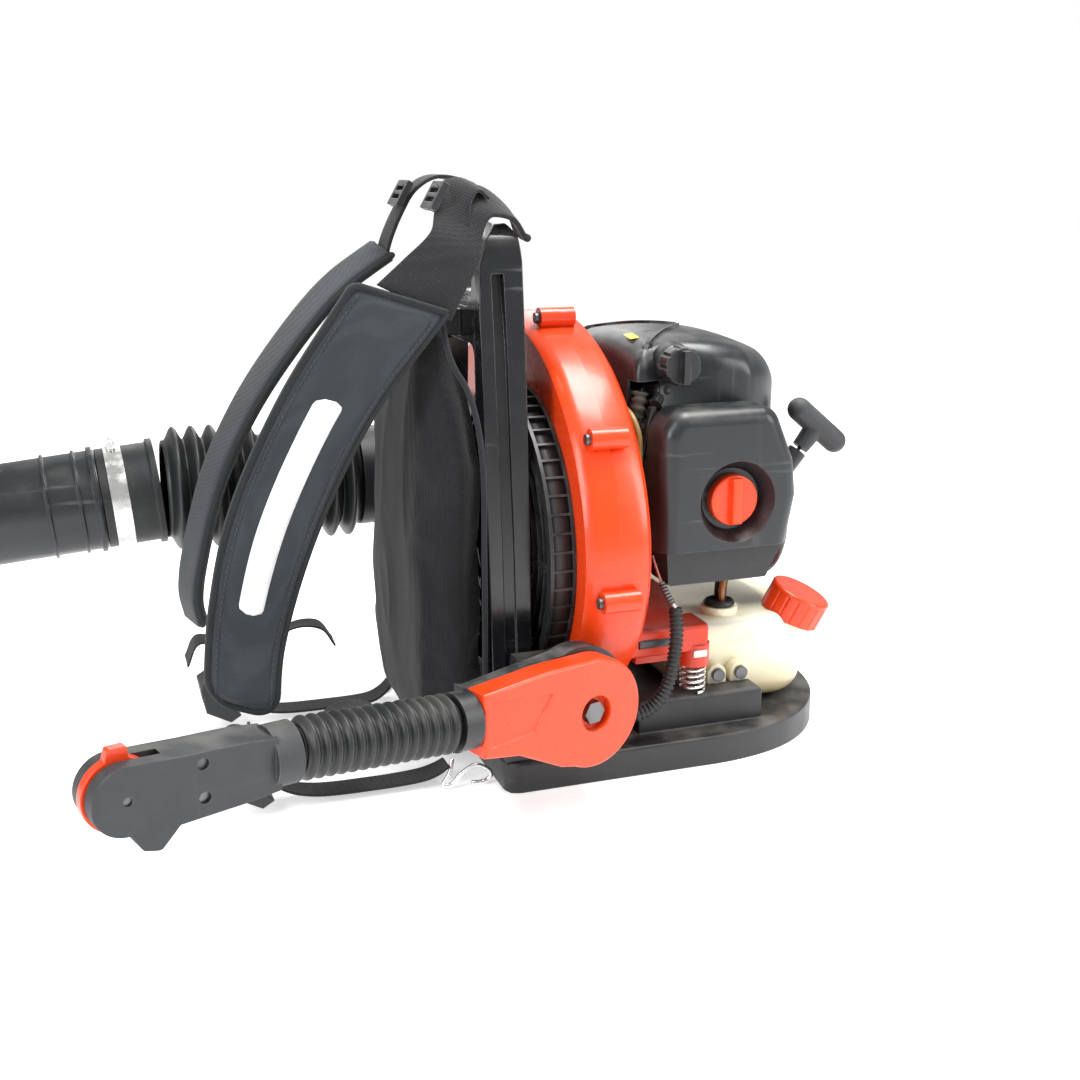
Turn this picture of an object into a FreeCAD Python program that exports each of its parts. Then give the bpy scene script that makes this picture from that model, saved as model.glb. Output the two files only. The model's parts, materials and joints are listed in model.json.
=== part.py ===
"""Backpack leaf blower, in millimetres.

The machine stands on its base. +Z is up, the operator's back is towards -Y and the
engine is towards +Y. +X is the operator's left, where the throttle arm is, and the blower
tube runs forward along -Y on the operator's right. The origin is on the floor.
"""
import math
import os

import FreeCAD
import Part

V = FreeCAD.Vector

# Driving dimensions
BASE_HALF_WIDTH = 145.0
BASE_FRONT = -95.0
BASE_SHOULDER = 85.0
BASE_REAR = 255.0
BASE_TOP = 27.0
BASE_WALL = 5.0
BLOCK_TOP = 57.0

FRAME_TOP = 470.0
FRAME_TOP_HALF = 78.0
FRAME_FOOT_HALF = 120.0
RAIL_WIDTH = 27.0
FRAME_FRONT = -98.0

PAD_HALF_WIDTH = 111.0
PAD_TOP = 402.0

AXIS_Z = 190.0              # crankshaft and fan axis, along Y
CASE_FRONT = -31.0
CASE_SEAM = -2.0
CASE_REAR = 28.0
CASE_WALL = 3.0
VOLUTE = ((-100, 120), (-50, 132), (0, 143), (45, 156), (90, 165), (127, 168),
          (158, 178), (187, 197), (215, 221), (243, 245))
BOSS_ANGLES = (20, 83, 129, 177, 222)
BOSS_RADIUS = 9.0
SCREW_RADIUS = 2.5
INTAKE_RADIUS = 98.0
IMPELLER_RADIUS = 105.0

TUBE_X = -175.0
DUCT_HALF = 54.0
DUCT_MOUTH_Z = 286.0
ELBOW_RADIUS = 46.0
ELBOW_BEND = 65.0
HOSE_START = -150.0
HOSE_MIDDLE = -242.0
HOSE_END = -335.0
HOSE_RIDGE = 59.0
HOSE_VALLEY = 47.0
HOSE_WALL = 2.5
HOSE_PITCH = 17.5
TUBE_TILT = 5.0
PIPE_RADIUS = 47.0
PIPE_WALL = 2.5
PIPE_LENGTHS = (235.0, 310.0, 220.0)

BORE = 21.0
CYLINDER_Y = 72.0
STROKE = 32.0
CRANK_OFFSET = STROKE / 2
JOURNAL = 8.0
PISTON_TOP_BDC = 272.0
WRIST_PIN_Z = 250.0
CYLINDER_BASE = 238.0
CYLINDER_TOP = 322.0

COVER_TOP = 373.0
COVER_HALF = 88.0
COVER_FRONT = 42.0
COVER_REAR = 206.0
COVER_BOTTOM = 216.0
COVER_WALL = 3.0

CLEANER_FACE = 142.0
KNOB_CENTRE = (114.0, 238.0)   # Y and Z of the air cleaner knob
TANK_BOTTOM = 29.0
TANK_TOP = 112.0

HUB = V(205, -39, 90)       # centre of the throttle hub's outer face
ARM_SPLAY = 18.0            # the arm turns outwards from straight ahead, degrees
HUB_RADIUS = 46.0
HUB_PIN = 6.0
LEVER_AT = (-386.0, 34.0)   # along the arm and above the hub
LEVER_RADIUS = 26.0
SCREW_LINE = -334.0         # grip screws, along the arm and above the hub
SCREW_HEIGHTS = (22.0, 46.0)
SLEEVE_RISE = -5.8
ROPE_EXIT = V(50, 222, 258)
ROPE_PULL = V(0, 0.64, 0.768).normalize()
CAP_AT = V(64, 219, 113)
CAP_AXIS = V(0.22, 0.36, 0.91).normalize()
RUN = 0.06                  # radial running clearance
GAP = 0.4                   # clearance between neighbours that don't fit together


# Building blocks

def block(x0, x1, y0, y1, z0, z1):
    return Part.makeBox(x1 - x0, y1 - y0, z1 - z0, V(x0, y0, z0))


def rod(start, end, radius):
    along = V(*end) - V(*start)
    return Part.makeCylinder(radius, along.Length, V(*start), along)


def ring(start, end, outer, inner):
    return rod(start, end, outer).cut(rod(start, end, inner))


def cone(start, end, radius_a, radius_b):
    along = V(*end) - V(*start)
    return Part.makeCone(radius_a, radius_b, along.Length, V(*start), along)


def ball(centre, radius):
    return Part.makeSphere(radius, V(*centre))


def fuse(shapes):
    shapes = list(shapes)
    return shapes[0].multiFuse(shapes[1:]).removeSplitter() if len(shapes) > 1 else shapes[0]


def cut(shape, tools):
    for tool in tools:
        shape = shape.cut(tool)
    return shape


def group(shapes):
    return Part.makeCompound(list(shapes))


def prism(points, axis, low, high):
    """A closed outline extruded along X, Y or Z. Points hold the other two coordinates."""
    place = {"X": lambda a, b: V(low, a, b), "Y": lambda a, b: V(a, low, b),
             "Z": lambda a, b: V(a, b, low)}[axis]
    corners = [place(a, b) for a, b in points]
    face = Part.Face(Part.makePolygon(corners + corners[:1]))
    step = high - low
    return face.extrude({"X": V(step, 0, 0), "Y": V(0, step, 0), "Z": V(0, 0, step)}[axis])


def edges_along(shape, direction, keep=lambda c: True):
    """Straight edges along a direction whose middle passes the keep test."""
    found = []
    for edge in shape.Edges:
        if edge.Curve.TypeId != "Part::GeomLine":
            continue
        run = edge.Vertexes[-1].Point - edge.Vertexes[0].Point
        if run.Length > 1e-6 and abs(run.normalize().dot(V(*direction))) > 0.99:
            if keep(edge.CenterOfMass):
                found.append(edge)
    return found


def edges_at(shape, axis, value, tolerance=0.01):
    """Edges that lie in the plane axis = value."""
    low, high = axis + "Min", axis + "Max"
    return [e for e in shape.Edges
            if abs(getattr(e.BoundBox, low) - value) < tolerance
            and abs(getattr(e.BoundBox, high) - value) < tolerance]


def strip(points, x0, x1, thickness):
    """A flat band of one thickness, across X, that follows points given as Y and Z."""
    half = thickness / 2
    parts = []
    for (ya, za), (yb, zb) in zip(points, points[1:]):
        length = math.hypot(yb - ya, zb - za)
        ny, nz = -(zb - za) / length * half, (yb - ya) / length * half
        parts.append(prism([(ya + ny, za + nz), (yb + ny, zb + nz),
                            (yb - ny, zb - nz), (ya - ny, za - nz)], "X", x0, x1))
    parts += [rod((x0, y, z), (x1, y, z), half) for y, z in points[1:-1]]
    return fuse(parts)


def smooth_outline(edges, axis, low, high):
    """A prism whose outline is several smooth curves joined end to end."""
    place = {"X": lambda a, b: V(low, a, b), "Y": lambda a, b: V(a, low, b)}[axis]
    curves = []
    for points in edges:
        if len(points) == 2:
            curves.append(Part.LineSegment(place(*points[0]), place(*points[1])).toShape())
            continue
        curve = Part.BSplineCurve()
        curve.interpolate([place(a, b) for a, b in points])
        curves.append(curve.toShape())
    face = Part.Face(Part.Wire(curves))
    step = high - low
    return face.extrude(V(step, 0, 0) if axis == "X" else V(0, step, 0))


def cord(points, radius):
    """A round cord along straight runs that arcs join, each as large as its runs allow."""
    points = [V(*p) for p in points]
    edges, here = [], points[0]
    for before, corner, after in zip(points, points[1:], points[2:]):
        into, out = corner - before, after - corner
        short = min(into.Length, out.Length)
        into.normalize()
        out.normalize()
        trim = 0.45 * short
        start, end = corner - into * trim, corner + out * trim
        to_centre = (out - into).normalize()
        half_turn = into.getAngle(out) / 2
        bend = trim / math.tan(half_turn)
        middle = corner + to_centre * (bend / math.cos(half_turn) - bend)
        edges.append(Part.LineSegment(here, start).toShape())
        edges.append(Part.Arc(start, middle, end).toShape())
        here = end
    edges.append(Part.LineSegment(here, points[-1]).toShape())
    path = Part.Wire(edges)
    section = Part.Wire(Part.Circle(points[0], points[1] - points[0], radius).toShape())
    return path.makePipeShell([section], True, True)


def both_sides(shape):
    """The shape and its mirror image across the YZ plane."""
    return [shape, shape.mirror(V(0, 0, 0), V(1, 0, 0))]


# Stand and frame

def base_outline(inset, z):
    half, front, rear = BASE_HALF_WIDTH - inset, BASE_FRONT + inset, BASE_REAR - inset
    curve = Part.BSplineCurve()
    reach = rear - BASE_SHOULDER
    turns = [math.radians(a) for a in range(0, 181, 15)]
    curve.interpolate([V(half * math.cos(t), BASE_SHOULDER + reach * math.sin(t) ** 0.8, z)
                       for t in turns])
    corners = [V(-half, BASE_SHOULDER, z), V(-half, front, z), V(half, front, z),
               V(half, BASE_SHOULDER, z)]
    sides = [Part.LineSegment(a, b).toShape() for a, b in zip(corners, corners[1:])]
    return Part.Face(Part.Wire([curve.toShape()] + sides))


def base_stand():
    shell = base_outline(0, 0).extrude(V(0, 0, BASE_TOP))
    shell = shell.makeFillet(14, edges_along(shell, (0, 0, 1), lambda c: c.y < 0))
    shell = shell.makeFillet(3, edges_at(shell, "Z", BASE_TOP))
    hollow = base_outline(BASE_WALL, 0).extrude(V(0, 0, BASE_TOP - BASE_WALL))
    ribs = [block(x - 2, x + 2, BASE_FRONT + 3, 196, 0, BASE_TOP - 2) for x in (-70, 0, 70)]
    ribs += [block(-110, 110, y - 2, y + 2, 0, BASE_TOP - 2) for y in (-30, 60, 150)]
    block_solid = block(88, 119, 36, 158, BASE_TOP - 2, BLOCK_TOP)
    block_solid = block_solid.makeFillet(5, edges_at(block_solid, "Z", BLOCK_TOP))
    return fuse([shell.cut(hollow)] + ribs + both_sides(block_solid))


def back_frame():
    low = BASE_TOP + GAP
    shoulder = FRAME_TOP - 60
    outer = [(-FRAME_FOOT_HALF, low), (FRAME_FOOT_HALF, low), (FRAME_FOOT_HALF - 12, 215),
             (FRAME_TOP_HALF + 14, shoulder - 40), (FRAME_TOP_HALF, FRAME_TOP),
             (-FRAME_TOP_HALF, FRAME_TOP), (-FRAME_TOP_HALF - 14, shoulder - 40),
             (-FRAME_FOOT_HALF + 12, 215)]
    plate = prism(outer, "Y", -112, -30)
    plate = plate.makeFillet(26, edges_along(plate, (0, 1, 0), lambda c: c.z > shoulder))
    w = RAIL_WIDTH
    lower = prism([(-FRAME_FOOT_HALF + w + 6, 60), (FRAME_FOOT_HALF - w - 6, 60),
                   (FRAME_FOOT_HALF - w - 12, 200), (-FRAME_FOOT_HALF + w + 12, 200)],
                  "Y", -120, -20)
    upper = prism([(-FRAME_FOOT_HALF + w + 14, 232), (FRAME_FOOT_HALF - w - 14, 232),
                   (FRAME_TOP_HALF - w + 20, 372), (-FRAME_TOP_HALF + w - 20, 372)],
                  "Y", -120, -20)
    hand = block(-60, 60, -120, -20, 402, 446)
    windows = [s.makeFillet(12, edges_along(s, (0, 1, 0))) for s in (lower, upper, hand)]
    side = prism([(FRAME_FRONT, low), (-64, low), (-60, 320), (-59, 440), (-61, 459),
                  (-67, FRAME_TOP), (-77, FRAME_TOP), (-88, 458), (-95, 438), (FRAME_FRONT, 400)],
                 "X", -130, 130)
    grooves = [prism([(-FRAME_FOOT_HALF - 1, 60), (-FRAME_FOOT_HALF + 4, 60),
                      (-FRAME_FOOT_HALF + 14, 205), (-FRAME_TOP_HALF - 9, 372),
                      (-FRAME_TOP_HALF + 4, 430), (-FRAME_TOP_HALF - 24, 430),
                      (-FRAME_TOP_HALF - 24, 372), (-FRAME_FOOT_HALF + 4, 205)], "Y", -86, -76)]
    grooves.append(both_sides(grooves[0])[1])
    brace = prism([(-64.5, low), (-24, low), (-28, 40), (-62, 80)], "X", 110.5, 118)
    rests = [block(-60, 60, -107.2, FRAME_FRONT, 204, 228),
             block(-34, 34, -122.6, FRAME_FRONT, 376, 398)]
    return fuse([cut(plate, windows + grooves).common(side)] + rests + both_sides(brace))


def back_pad():
    front = [(-122, 14), (-144, 30), (-153, 80), (-155, 150), (-152, 262), (-147, 340),
             (-142, 362), (-132.5, 379), (-130, PAD_TOP)]
    rear = [(-126, PAD_TOP), (-123, 362), (-114, 284), (-108, 199), (-104, 84), (-101, 14)]
    body = prism(front + rear, "X", -PAD_HALF_WIDTH, PAD_HALF_WIDTH)
    outline = prism([(-PAD_HALF_WIDTH, 10), (PAD_HALF_WIDTH, 10), (PAD_HALF_WIDTH, 300),
                     (88, PAD_TOP + 5), (-88, PAD_TOP + 5), (-PAD_HALF_WIDTH, 300)],
                    "Y", -200, 0)
    outline = outline.makeFillet(34, edges_along(outline, (0, 1, 0)))
    return body.common(outline)


# Harness

STRAP_FRONT = ((-203, 429), (-262, 345), (-306, 258), (-327, 178), (-336, 98))
STRAP_REAR = ((-276, 74), (-268, 140), (-240, 225), (-190, 320), (-123, 403))
STRAP_X = (88.0, 101.0)


def shoulder_strap_left():
    bottom = (STRAP_FRONT[-1], STRAP_REAR[0])
    top = (STRAP_REAR[-1], STRAP_FRONT[0])
    return smooth_outline([STRAP_FRONT, bottom, STRAP_REAR, top], "X", *STRAP_X)


def shoulder_strap_right():
    """The right strap lies flat, with its width across the machine."""
    path = [(-138, 441), (-174, 417), (-200, 393), (-229, 359), (-255, 324), (-276, 290),
            (-293, 256), (-307, 218), (-321, 164), (-325, 132), (-318, 99)]
    return strip(path, -108, -52, 12)


def top_webbing_right():
    path = [(-134, 449), (-127, 472), (-112, 497), (-88, 503), (-60, 494), (-45, 474), (-44, 456)]
    return strip(path, -84, -46, 4)


def top_webbing_left():
    """The strap's sewn end goes up and folds back over the frame's top bar."""
    rise = prism([(-160, 419.5), (-128, 409.5), (-80, 476), (-112, 500)], "X", 70, 98)
    path = [(-128, 470), (-112, 498), (-88, 504), (-60, 494), (-45, 474), (-44, 456)]
    return fuse([rise, strip(path, 28, 84, 9)])


def strap_adjuster():
    """A ribbed ladder lock on top of the folded webbing."""
    def at(along, out):
        return -128.3 + 0.496 * along - 0.868 * out, 479.4 + 0.868 * along + 0.496 * out

    body = prism([at(0, 0), at(24, 0), at(24, 6), at(0, 6)], "X", 40, 74)
    slots = [prism([at(u, -1), at(u + 4, -1), at(u + 4, 7), at(u, 7)], "X", 45, 69)
             for u in (6, 14)]
    return cut(body, slots)


def lower_webbing():
    path = [(-300, 66), (-292, 30), (-268, 14), (-220, 10), (-160, 10), (-142, 13)]
    return strip(path, 84, 110, 2.6)


def strap_buckle():
    body = prism([(-322, 44), (-318, 20), (-296, 8), (-286, 14), (-306, 34), (-312, 50)],
                 "X", 76, 118)
    return body.cut(block(82, 112, -340, -280, 24, 34))


def strap_tail():
    path = [(-330, 62), (-316, 84), (-268, 66), (-228, 84), (-196, 78)]
    return strip(path, 104, 128, 2.2)


def strap_hook():
    """An open wire hook between the webbing's loop and the stand's front edge."""
    bends = [(108, -133, 24), (113, -136, 13), (115, -143, 4), (116, -133, 10), (116, -124, 16),
             (116, -113, 18), (116, -103, 14), (116, -100, 8), (116, -106, 3), (116, -118, 3)]
    wire = [rod(a, b, 1.8) for a, b in zip(bends, bends[1:])]
    return fuse(wire + [ball(p, 1.8) for p in bends])


# Fan

def volute_radius(angle):
    for (a0, r0), (a1, r1) in zip(VOLUTE, VOLUTE[1:]):
        if angle <= a1:
            return r0 + (r1 - r0) * (angle - a0) / (a1 - a0)
    return VOLUTE[-1][1]


def volute_wire(y, inset, mouth):
    """Casing outline at one Y: the scroll, the duct's outer wall, mouth and inner wall."""
    def at(angle, radius):
        t = math.radians(angle)
        return V((radius - inset) * math.sin(t), y, AXIS_Z - (radius - inset) * math.cos(t))

    scroll = Part.BSplineCurve()
    scroll.interpolate([at(a, r) for a, r in VOLUTE])
    start, end = at(*VOLUTE[0]), at(*VOLUTE[-1])
    outer = V(TUBE_X - DUCT_HALF + inset, y, mouth)
    inner = V(TUBE_X + DUCT_HALF - inset, y, mouth)
    lines = [Part.LineSegment(a, b).toShape()
             for a, b in ((end, outer), (outer, inner), (inner, start))]
    return Part.Wire([scroll.toShape()] + lines)


def case_loft(levels, extra, mouth):
    return Part.makeLoft([volute_wire(y, inset + extra, mouth) for y, inset in levels],
                         True, True)


def boss_centre(angle):
    t = math.radians(angle)
    radius = volute_radius(angle) + 5.5
    return radius * math.sin(t), AXIS_Z - radius * math.cos(t)


def case_half(levels, inner_levels, hole, y_hole, y_boss):
    mouth = DUCT_MOUTH_Z
    shell = case_loft(levels, 0, mouth)
    inside = case_loft(inner_levels, CASE_WALL, mouth - 8)
    bosses = [rod((x, y_boss[0], z), (x, y_boss[1], z), BOSS_RADIUS)
              for x, z in map(boss_centre, BOSS_ANGLES)]
    shell = fuse([shell] + bosses).cut(inside)
    holes = [rod((x, -60, z), (x, 60, z), SCREW_RADIUS + 0.1)
             for x, z in map(boss_centre, BOSS_ANGLES)]
    opening = rod((0, y_hole[0], AXIS_Z), (0, y_hole[1], AXIS_Z), hole)
    return cut(shell, holes + [opening])


def fan_case_front():
    levels = ((CASE_FRONT, 7), (CASE_FRONT + 5, 2.5), (CASE_FRONT + 12, 0.5), (CASE_SEAM, 0))
    inner = ((CASE_FRONT + CASE_WALL, 5), (CASE_FRONT + 10, 2), (CASE_SEAM + 1, 0))
    return case_half(levels, inner, INTAKE_RADIUS, (CASE_FRONT - 5, CASE_FRONT + 10),
                     (CASE_SEAM - 18, CASE_SEAM))


def fan_case_rear():
    levels = ((CASE_SEAM, 0), (CASE_REAR - 14, 0.5), (CASE_REAR - 5, 3), (CASE_REAR, 9))
    inner = ((CASE_SEAM - 1, 0), (CASE_REAR - 12, 2), (CASE_REAR - CASE_WALL, 8))
    return case_half(levels, inner, 14, (0, CASE_REAR + 5), (CASE_SEAM, CASE_SEAM + 14))


def case_screws():
    screws = []
    for x, z in map(boss_centre, BOSS_ANGLES):
        head = CASE_SEAM - 18
        screws.append(fuse([rod((x, head, z), (x, CASE_SEAM + 12, z), SCREW_RADIUS),
                            rod((x, head - 4, z), (x, head, z), SCREW_RADIUS * 1.9)]))
    return screws


def impeller():
    disc = rod((0, 18, AXIS_Z), (0, 21, AXIS_Z), IMPELLER_RADIUS)
    hub = rod((0, -14, AXIS_Z), (0, 22, AXIS_Z), 20)
    blade = block(30, IMPELLER_RADIUS - 1, -22, 19, AXIS_Z - 1.3, AXIS_Z + 1.3)
    blade.rotate(V(IMPELLER_RADIUS, 0, AXIS_Z), V(0, 1, 0), 16)
    blades = []
    for i in range(18):
        turned = blade.copy()
        turned.rotate(V(0, 0, AXIS_Z), V(0, 1, 0), 20 * i)
        blades.append(turned)
    blades = fuse([disc, hub] + blades)
    limit = rod((0, -30, AXIS_Z), (0, 30, AXIS_Z), IMPELLER_RADIUS)
    return blades.common(limit).cut(rod((0, -40, AXIS_Z), (0, 40, AXIS_Z), JOURNAL + RUN))


def intake_guard():
    """A caged intake: bars along Y round the rim and rings across the front."""
    y0, y1 = -54.0, CASE_FRONT - GAP
    outer = 138.0
    bars = []
    for i in range(54):
        bar = block(outer - 8, outer - 1, y0 + 1, y1 - 1, AXIS_Z - 1, AXIS_Z + 1)
        bar.rotate(V(0, 0, AXIS_Z), V(0, 1, 0), 360 / 54 * i)
        bars.append(bar)
    rings = [ring((0, y, AXIS_Z), (0, y + 3, AXIS_Z), outer, outer - 10)
             for y in (y0, y1 - 3)]
    face = [ring((0, y0, AXIS_Z), (0, y0 + 3, AXIS_Z), r + 3, r) for r in range(20, 130, 14)]
    spokes = [block(-outer + 4, outer - 4, y0, y0 + 3, AXIS_Z - 2, AXIS_Z + 2)]
    for angle in (45, 90, 135):
        spoke = spokes[0].copy()
        spoke.rotate(V(0, 0, AXIS_Z), V(0, 1, 0), angle)
        spokes.append(spoke)
    clear_of_elbow = block(-160, TUBE_X + 51, -70, 0, 100, 300)
    return fuse(bars + rings + face + spokes).cut(clear_of_elbow)


def outlet_elbow():
    """From the casing's mouth, facing down, round to the hose, facing forward."""
    y = -2.0
    top = DUCT_MOUTH_Z - GAP
    end_z = top - 5 - ELBOW_BEND
    bend_at = V(TUBE_X, y - ELBOW_BEND, top - 5)

    def pipe(radius, overrun):
        circle = Part.Face(Part.Wire(Part.Circle(V(TUBE_X, y, top - 5), V(0, 0, 1),
                                                 radius).toShape()))
        turn = circle.revolve(bend_at, V(1, 0, 0), -90)
        run = rod((TUBE_X, y - ELBOW_BEND, end_z), (TUBE_X, HOSE_START - overrun, end_z),
                  radius)
        return [turn, run]

    flange = block(TUBE_X - 50, TUBE_X + 43, y - 48, y + 48, top - 5, top)
    cuff = rod((TUBE_X, HOSE_START + 30, end_z), (TUBE_X, HOSE_START + GAP, end_z),
               ELBOW_RADIUS + 3)
    body = fuse([flange, cuff] + pipe(ELBOW_RADIUS, -GAP))
    bore = pipe(ELBOW_RADIUS - 3, 5) + [block(TUBE_X - 38, TUBE_X + 38, -26, 22,
                                              top - 8, top + 1)]
    return cut(body, bore)


# Blower tube

def hose(y_start, y_end):
    """A bellows of round ridges about the hose axis, with both skins following them."""
    z = DUCT_MOUTH_Z - GAP - 5 - ELBOW_BEND
    count = round((y_start - y_end - 10) / HOSE_PITCH)
    step = (y_start - y_end - 10) / count
    outer = [(y_start, HOSE_VALLEY)]
    for i in range(count):
        top = y_start - 5 - i * step
        outer += [(top - 0.15 * step, HOSE_VALLEY), (top - 0.4 * step, HOSE_RIDGE),
                  (top - 0.6 * step, HOSE_RIDGE), (top - 0.85 * step, HOSE_VALLEY)]
    outer.append((y_end, HOSE_VALLEY))
    inner = [(y, r - HOSE_WALL) for y, r in reversed(outer)]
    corners = [V(TUBE_X, y, z + r) for y, r in outer + inner]
    face = Part.Face(Part.makePolygon(corners + corners[:1]))
    return face.revolve(V(TUBE_X, 0, z), V(0, 1, 0), 360)


def along_tube(shape):
    """Places a shape built along -Y from the hose's end onto the tilted tube axis."""
    z = DUCT_MOUTH_Z - GAP - 5 - ELBOW_BEND
    shape.rotate(V(0, 0, 0), V(1, 0, 0), TUBE_TILT)
    shape.translate(V(TUBE_X, HOSE_END, z))
    return shape


def tube_part(sections, wall, rings=()):
    """A turned pipe through (distance, outer radius) sections, with raised rings."""
    outer = [V(0, -u, r) for u, r in sections]
    inner = [V(0, -u, r - wall) for u, r in reversed(sections)]
    face = Part.Face(Part.makePolygon(outer + inner + outer[:1]))
    body = face.revolve(V(0, 0, 0), V(0, 1, 0), 360)
    bands = [ring((0, -u, 0), (0, -u - width, 0), radius, radius - 4.5)
             for u, width, radius in rings]
    return along_tube(fuse([body] + bands))


def hose_cuff():
    return tube_part([(5, HOSE_VALLEY), (58, HOSE_VALLEY)], HOSE_WALL, [(5, 6, 50)])


def hose_clamp():
    band = ring((0, -34, 0), (0, -50, 0), HOSE_VALLEY + 1.3, HOSE_VALLEY + 0.1)
    screw = fuse([block(-9, 9, -46, -38, HOSE_VALLEY, HOSE_VALLEY + 7),
                  rod((-14, -42, HOSE_VALLEY + 4), (14, -42, HOSE_VALLEY + 4), 3)])
    lower = Part.makeCylinder(HOSE_VALLEY + 0.1, 40, V(0, -20, 0), V(0, -1, 0))
    return along_tube(fuse([band, screw.cut(lower)]))


def swivel_pipe():
    end = 58 + PIPE_LENGTHS[0]
    sections = [(58 + GAP, PIPE_RADIUS), (end - 34, PIPE_RADIUS - 1.5),
                (end - 30, PIPE_RADIUS + 1), (end, PIPE_RADIUS + 1)]
    return tube_part(sections, PIPE_WALL, [(60, 5, PIPE_RADIUS + 3), (76, 3, PIPE_RADIUS + 2),
                                           (104, 3, PIPE_RADIUS + 2)])


def straight_pipe():
    start = 58 + PIPE_LENGTHS[0] + GAP
    end = start + PIPE_LENGTHS[1]
    sections = [(start, PIPE_RADIUS - 1), (end - 34, PIPE_RADIUS - 3),
                (end - 30, PIPE_RADIUS - 1), (end, PIPE_RADIUS - 1)]
    return tube_part(sections, PIPE_WALL, [(start + 6, 4, PIPE_RADIUS + 1)])


def nozzle():
    start = 58 + PIPE_LENGTHS[0] + PIPE_LENGTHS[1] + 2 * GAP
    end = start + PIPE_LENGTHS[2]
    sections = [(start, PIPE_RADIUS - 3), (start + 50, PIPE_RADIUS - 4), (end - 20, 36),
                (end, 36)]
    return tube_part(sections, PIPE_WALL, [(start + 6, 4, PIPE_RADIUS - 1)])


# Engine

def crankcase():
    y0, y1 = CASE_REAR + GAP, 110.0
    body = fuse([rod((0, y0, AXIS_Z), (0, y1, AXIS_Z), 46),
                 block(-38, 38, CYLINDER_Y - 26, CYLINDER_Y + 34, AXIS_Z,
                       CYLINDER_BASE - GAP)])
    chamber = rod((0, CYLINDER_Y - 20, AXIS_Z), (0, CYLINDER_Y + 20, AXIS_Z), 32)
    shaft = rod((0, 0, AXIS_Z), (0, 120, AXIS_Z), JOURNAL + RUN)
    throat = rod((0, CYLINDER_Y, AXIS_Z), (0, CYLINDER_Y, 260), BORE + 0.5)
    return cut(body, [chamber, shaft, throat])


def crankshaft():
    journals = [rod((0, -20, AXIS_Z), (0, CYLINDER_Y - 16, AXIS_Z), JOURNAL),
                rod((0, CYLINDER_Y + 16, AXIS_Z), (0, 178, AXIS_Z), JOURNAL)]
    webs = [rod((0, CYLINDER_Y + a, AXIS_Z), (0, CYLINDER_Y + b, AXIS_Z), 29)
            for a, b in ((-16, -7), (7, 16))]
    pin_z = AXIS_Z - CRANK_OFFSET
    pin = rod((0, CYLINDER_Y - 8, pin_z), (0, CYLINDER_Y + 8, pin_z), 6)
    return fuse(journals + webs + [pin])


def connecting_rod():
    """The rod from the piston pin down to just above the crank pin's circle."""
    y = CYLINDER_Y
    eye = ring((0, y - 6, WRIST_PIN_Z), (0, y + 6, WRIST_PIN_Z), 9, 4.6)
    shank = block(-5, 5, y - 4, y + 4, AXIS_Z + 24, WRIST_PIN_Z - 8)
    return fuse([eye, shank])


def piston():
    y, z = CYLINDER_Y, WRIST_PIN_Z
    skirt = rod((0, y, z - 12), (0, y, PISTON_TOP_BDC), BORE - RUN)
    hollow = rod((0, y, z - 20), (0, y, PISTON_TOP_BDC - 6), BORE - 4)
    grooves = [ring((0, y, PISTON_TOP_BDC - d), (0, y, PISTON_TOP_BDC - d + 1.5), BORE + 1,
                    BORE - 1.5) for d in (5, 9)]
    pin = rod((0, y - BORE + 1.5, z), (0, y + BORE - 1.5, z), 4.5)
    return fuse([cut(skirt, [hollow] + grooves), pin])


def cylinder():
    y = CYLINDER_Y
    barrel = rod((0, y, CYLINDER_BASE), (0, y, CYLINDER_TOP), 26)
    fins = [block(-40, 40, y - 25.5, y + 33, z, z + 3)
            for z in range(int(CYLINDER_BASE), int(CYLINDER_TOP), 9)]
    fins = [f.makeFillet(10, edges_along(f, (0, 0, 1))) for f in fins]
    bore = rod((0, y, CYLINDER_BASE - 5), (0, y, PISTON_TOP_BDC + STROKE + 2), BORE)
    plug_hole = rod(plug_line(0), plug_line(60), 7.2)
    return cut(fuse([barrel] + fins), [bore, plug_hole])


def plug_line(distance):
    """A point along the spark plug's axis."""
    direction = V(52, 0, 12).normalize()
    return tuple(V(8, CYLINDER_Y, CYLINDER_TOP - 12) + direction * distance)


def spark_plug():
    return fuse([rod(plug_line(16), plug_line(34), 6.5), rod(plug_line(34), plug_line(42), 9.5),
                 rod(plug_line(42), plug_line(64), 5)])


def plug_boot():
    boot = fuse([rod(plug_line(50), plug_line(68), 9), ball(plug_line(68), 9),
                 rod(plug_line(68), (86, CYLINDER_Y - 12, 316), 5)])
    return boot.cut(rod(plug_line(40), plug_line(66), 5.1))


def ignition_lead():
    return cord([(86.8, 58.6, 314), (93, 50, 296), (93, 46, 272), (87, 37, 252),
                 (68, 36, 240), (52, 36, 236)], 2.6)


def breather_hose():
    return cord([(76, 37, 312), (90, 37, 308), (99, 40, 294), (100, 41, 268),
                 (97, 38, 250), (86, 36, 228)], 2.5)


def flywheel():
    disc = rod((0, 113, AXIS_Z), (0, 121, AXIS_Z), 56)
    vanes = []
    for i in range(16):
        vane = block(34, 54, 120, 134, AXIS_Z - 1.2, AXIS_Z + 1.2)
        vane.rotate(V(0, 0, AXIS_Z), V(0, 1, 0), 22.5 * i)
        vanes.append(vane)
    hub = rod((0, 113, AXIS_Z), (0, 134, AXIS_Z), 16)
    return fuse([disc, hub] + vanes).cut(rod((0, 100, AXIS_Z), (0, 140, AXIS_Z),
                                             JOURNAL + 0.02))


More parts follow.
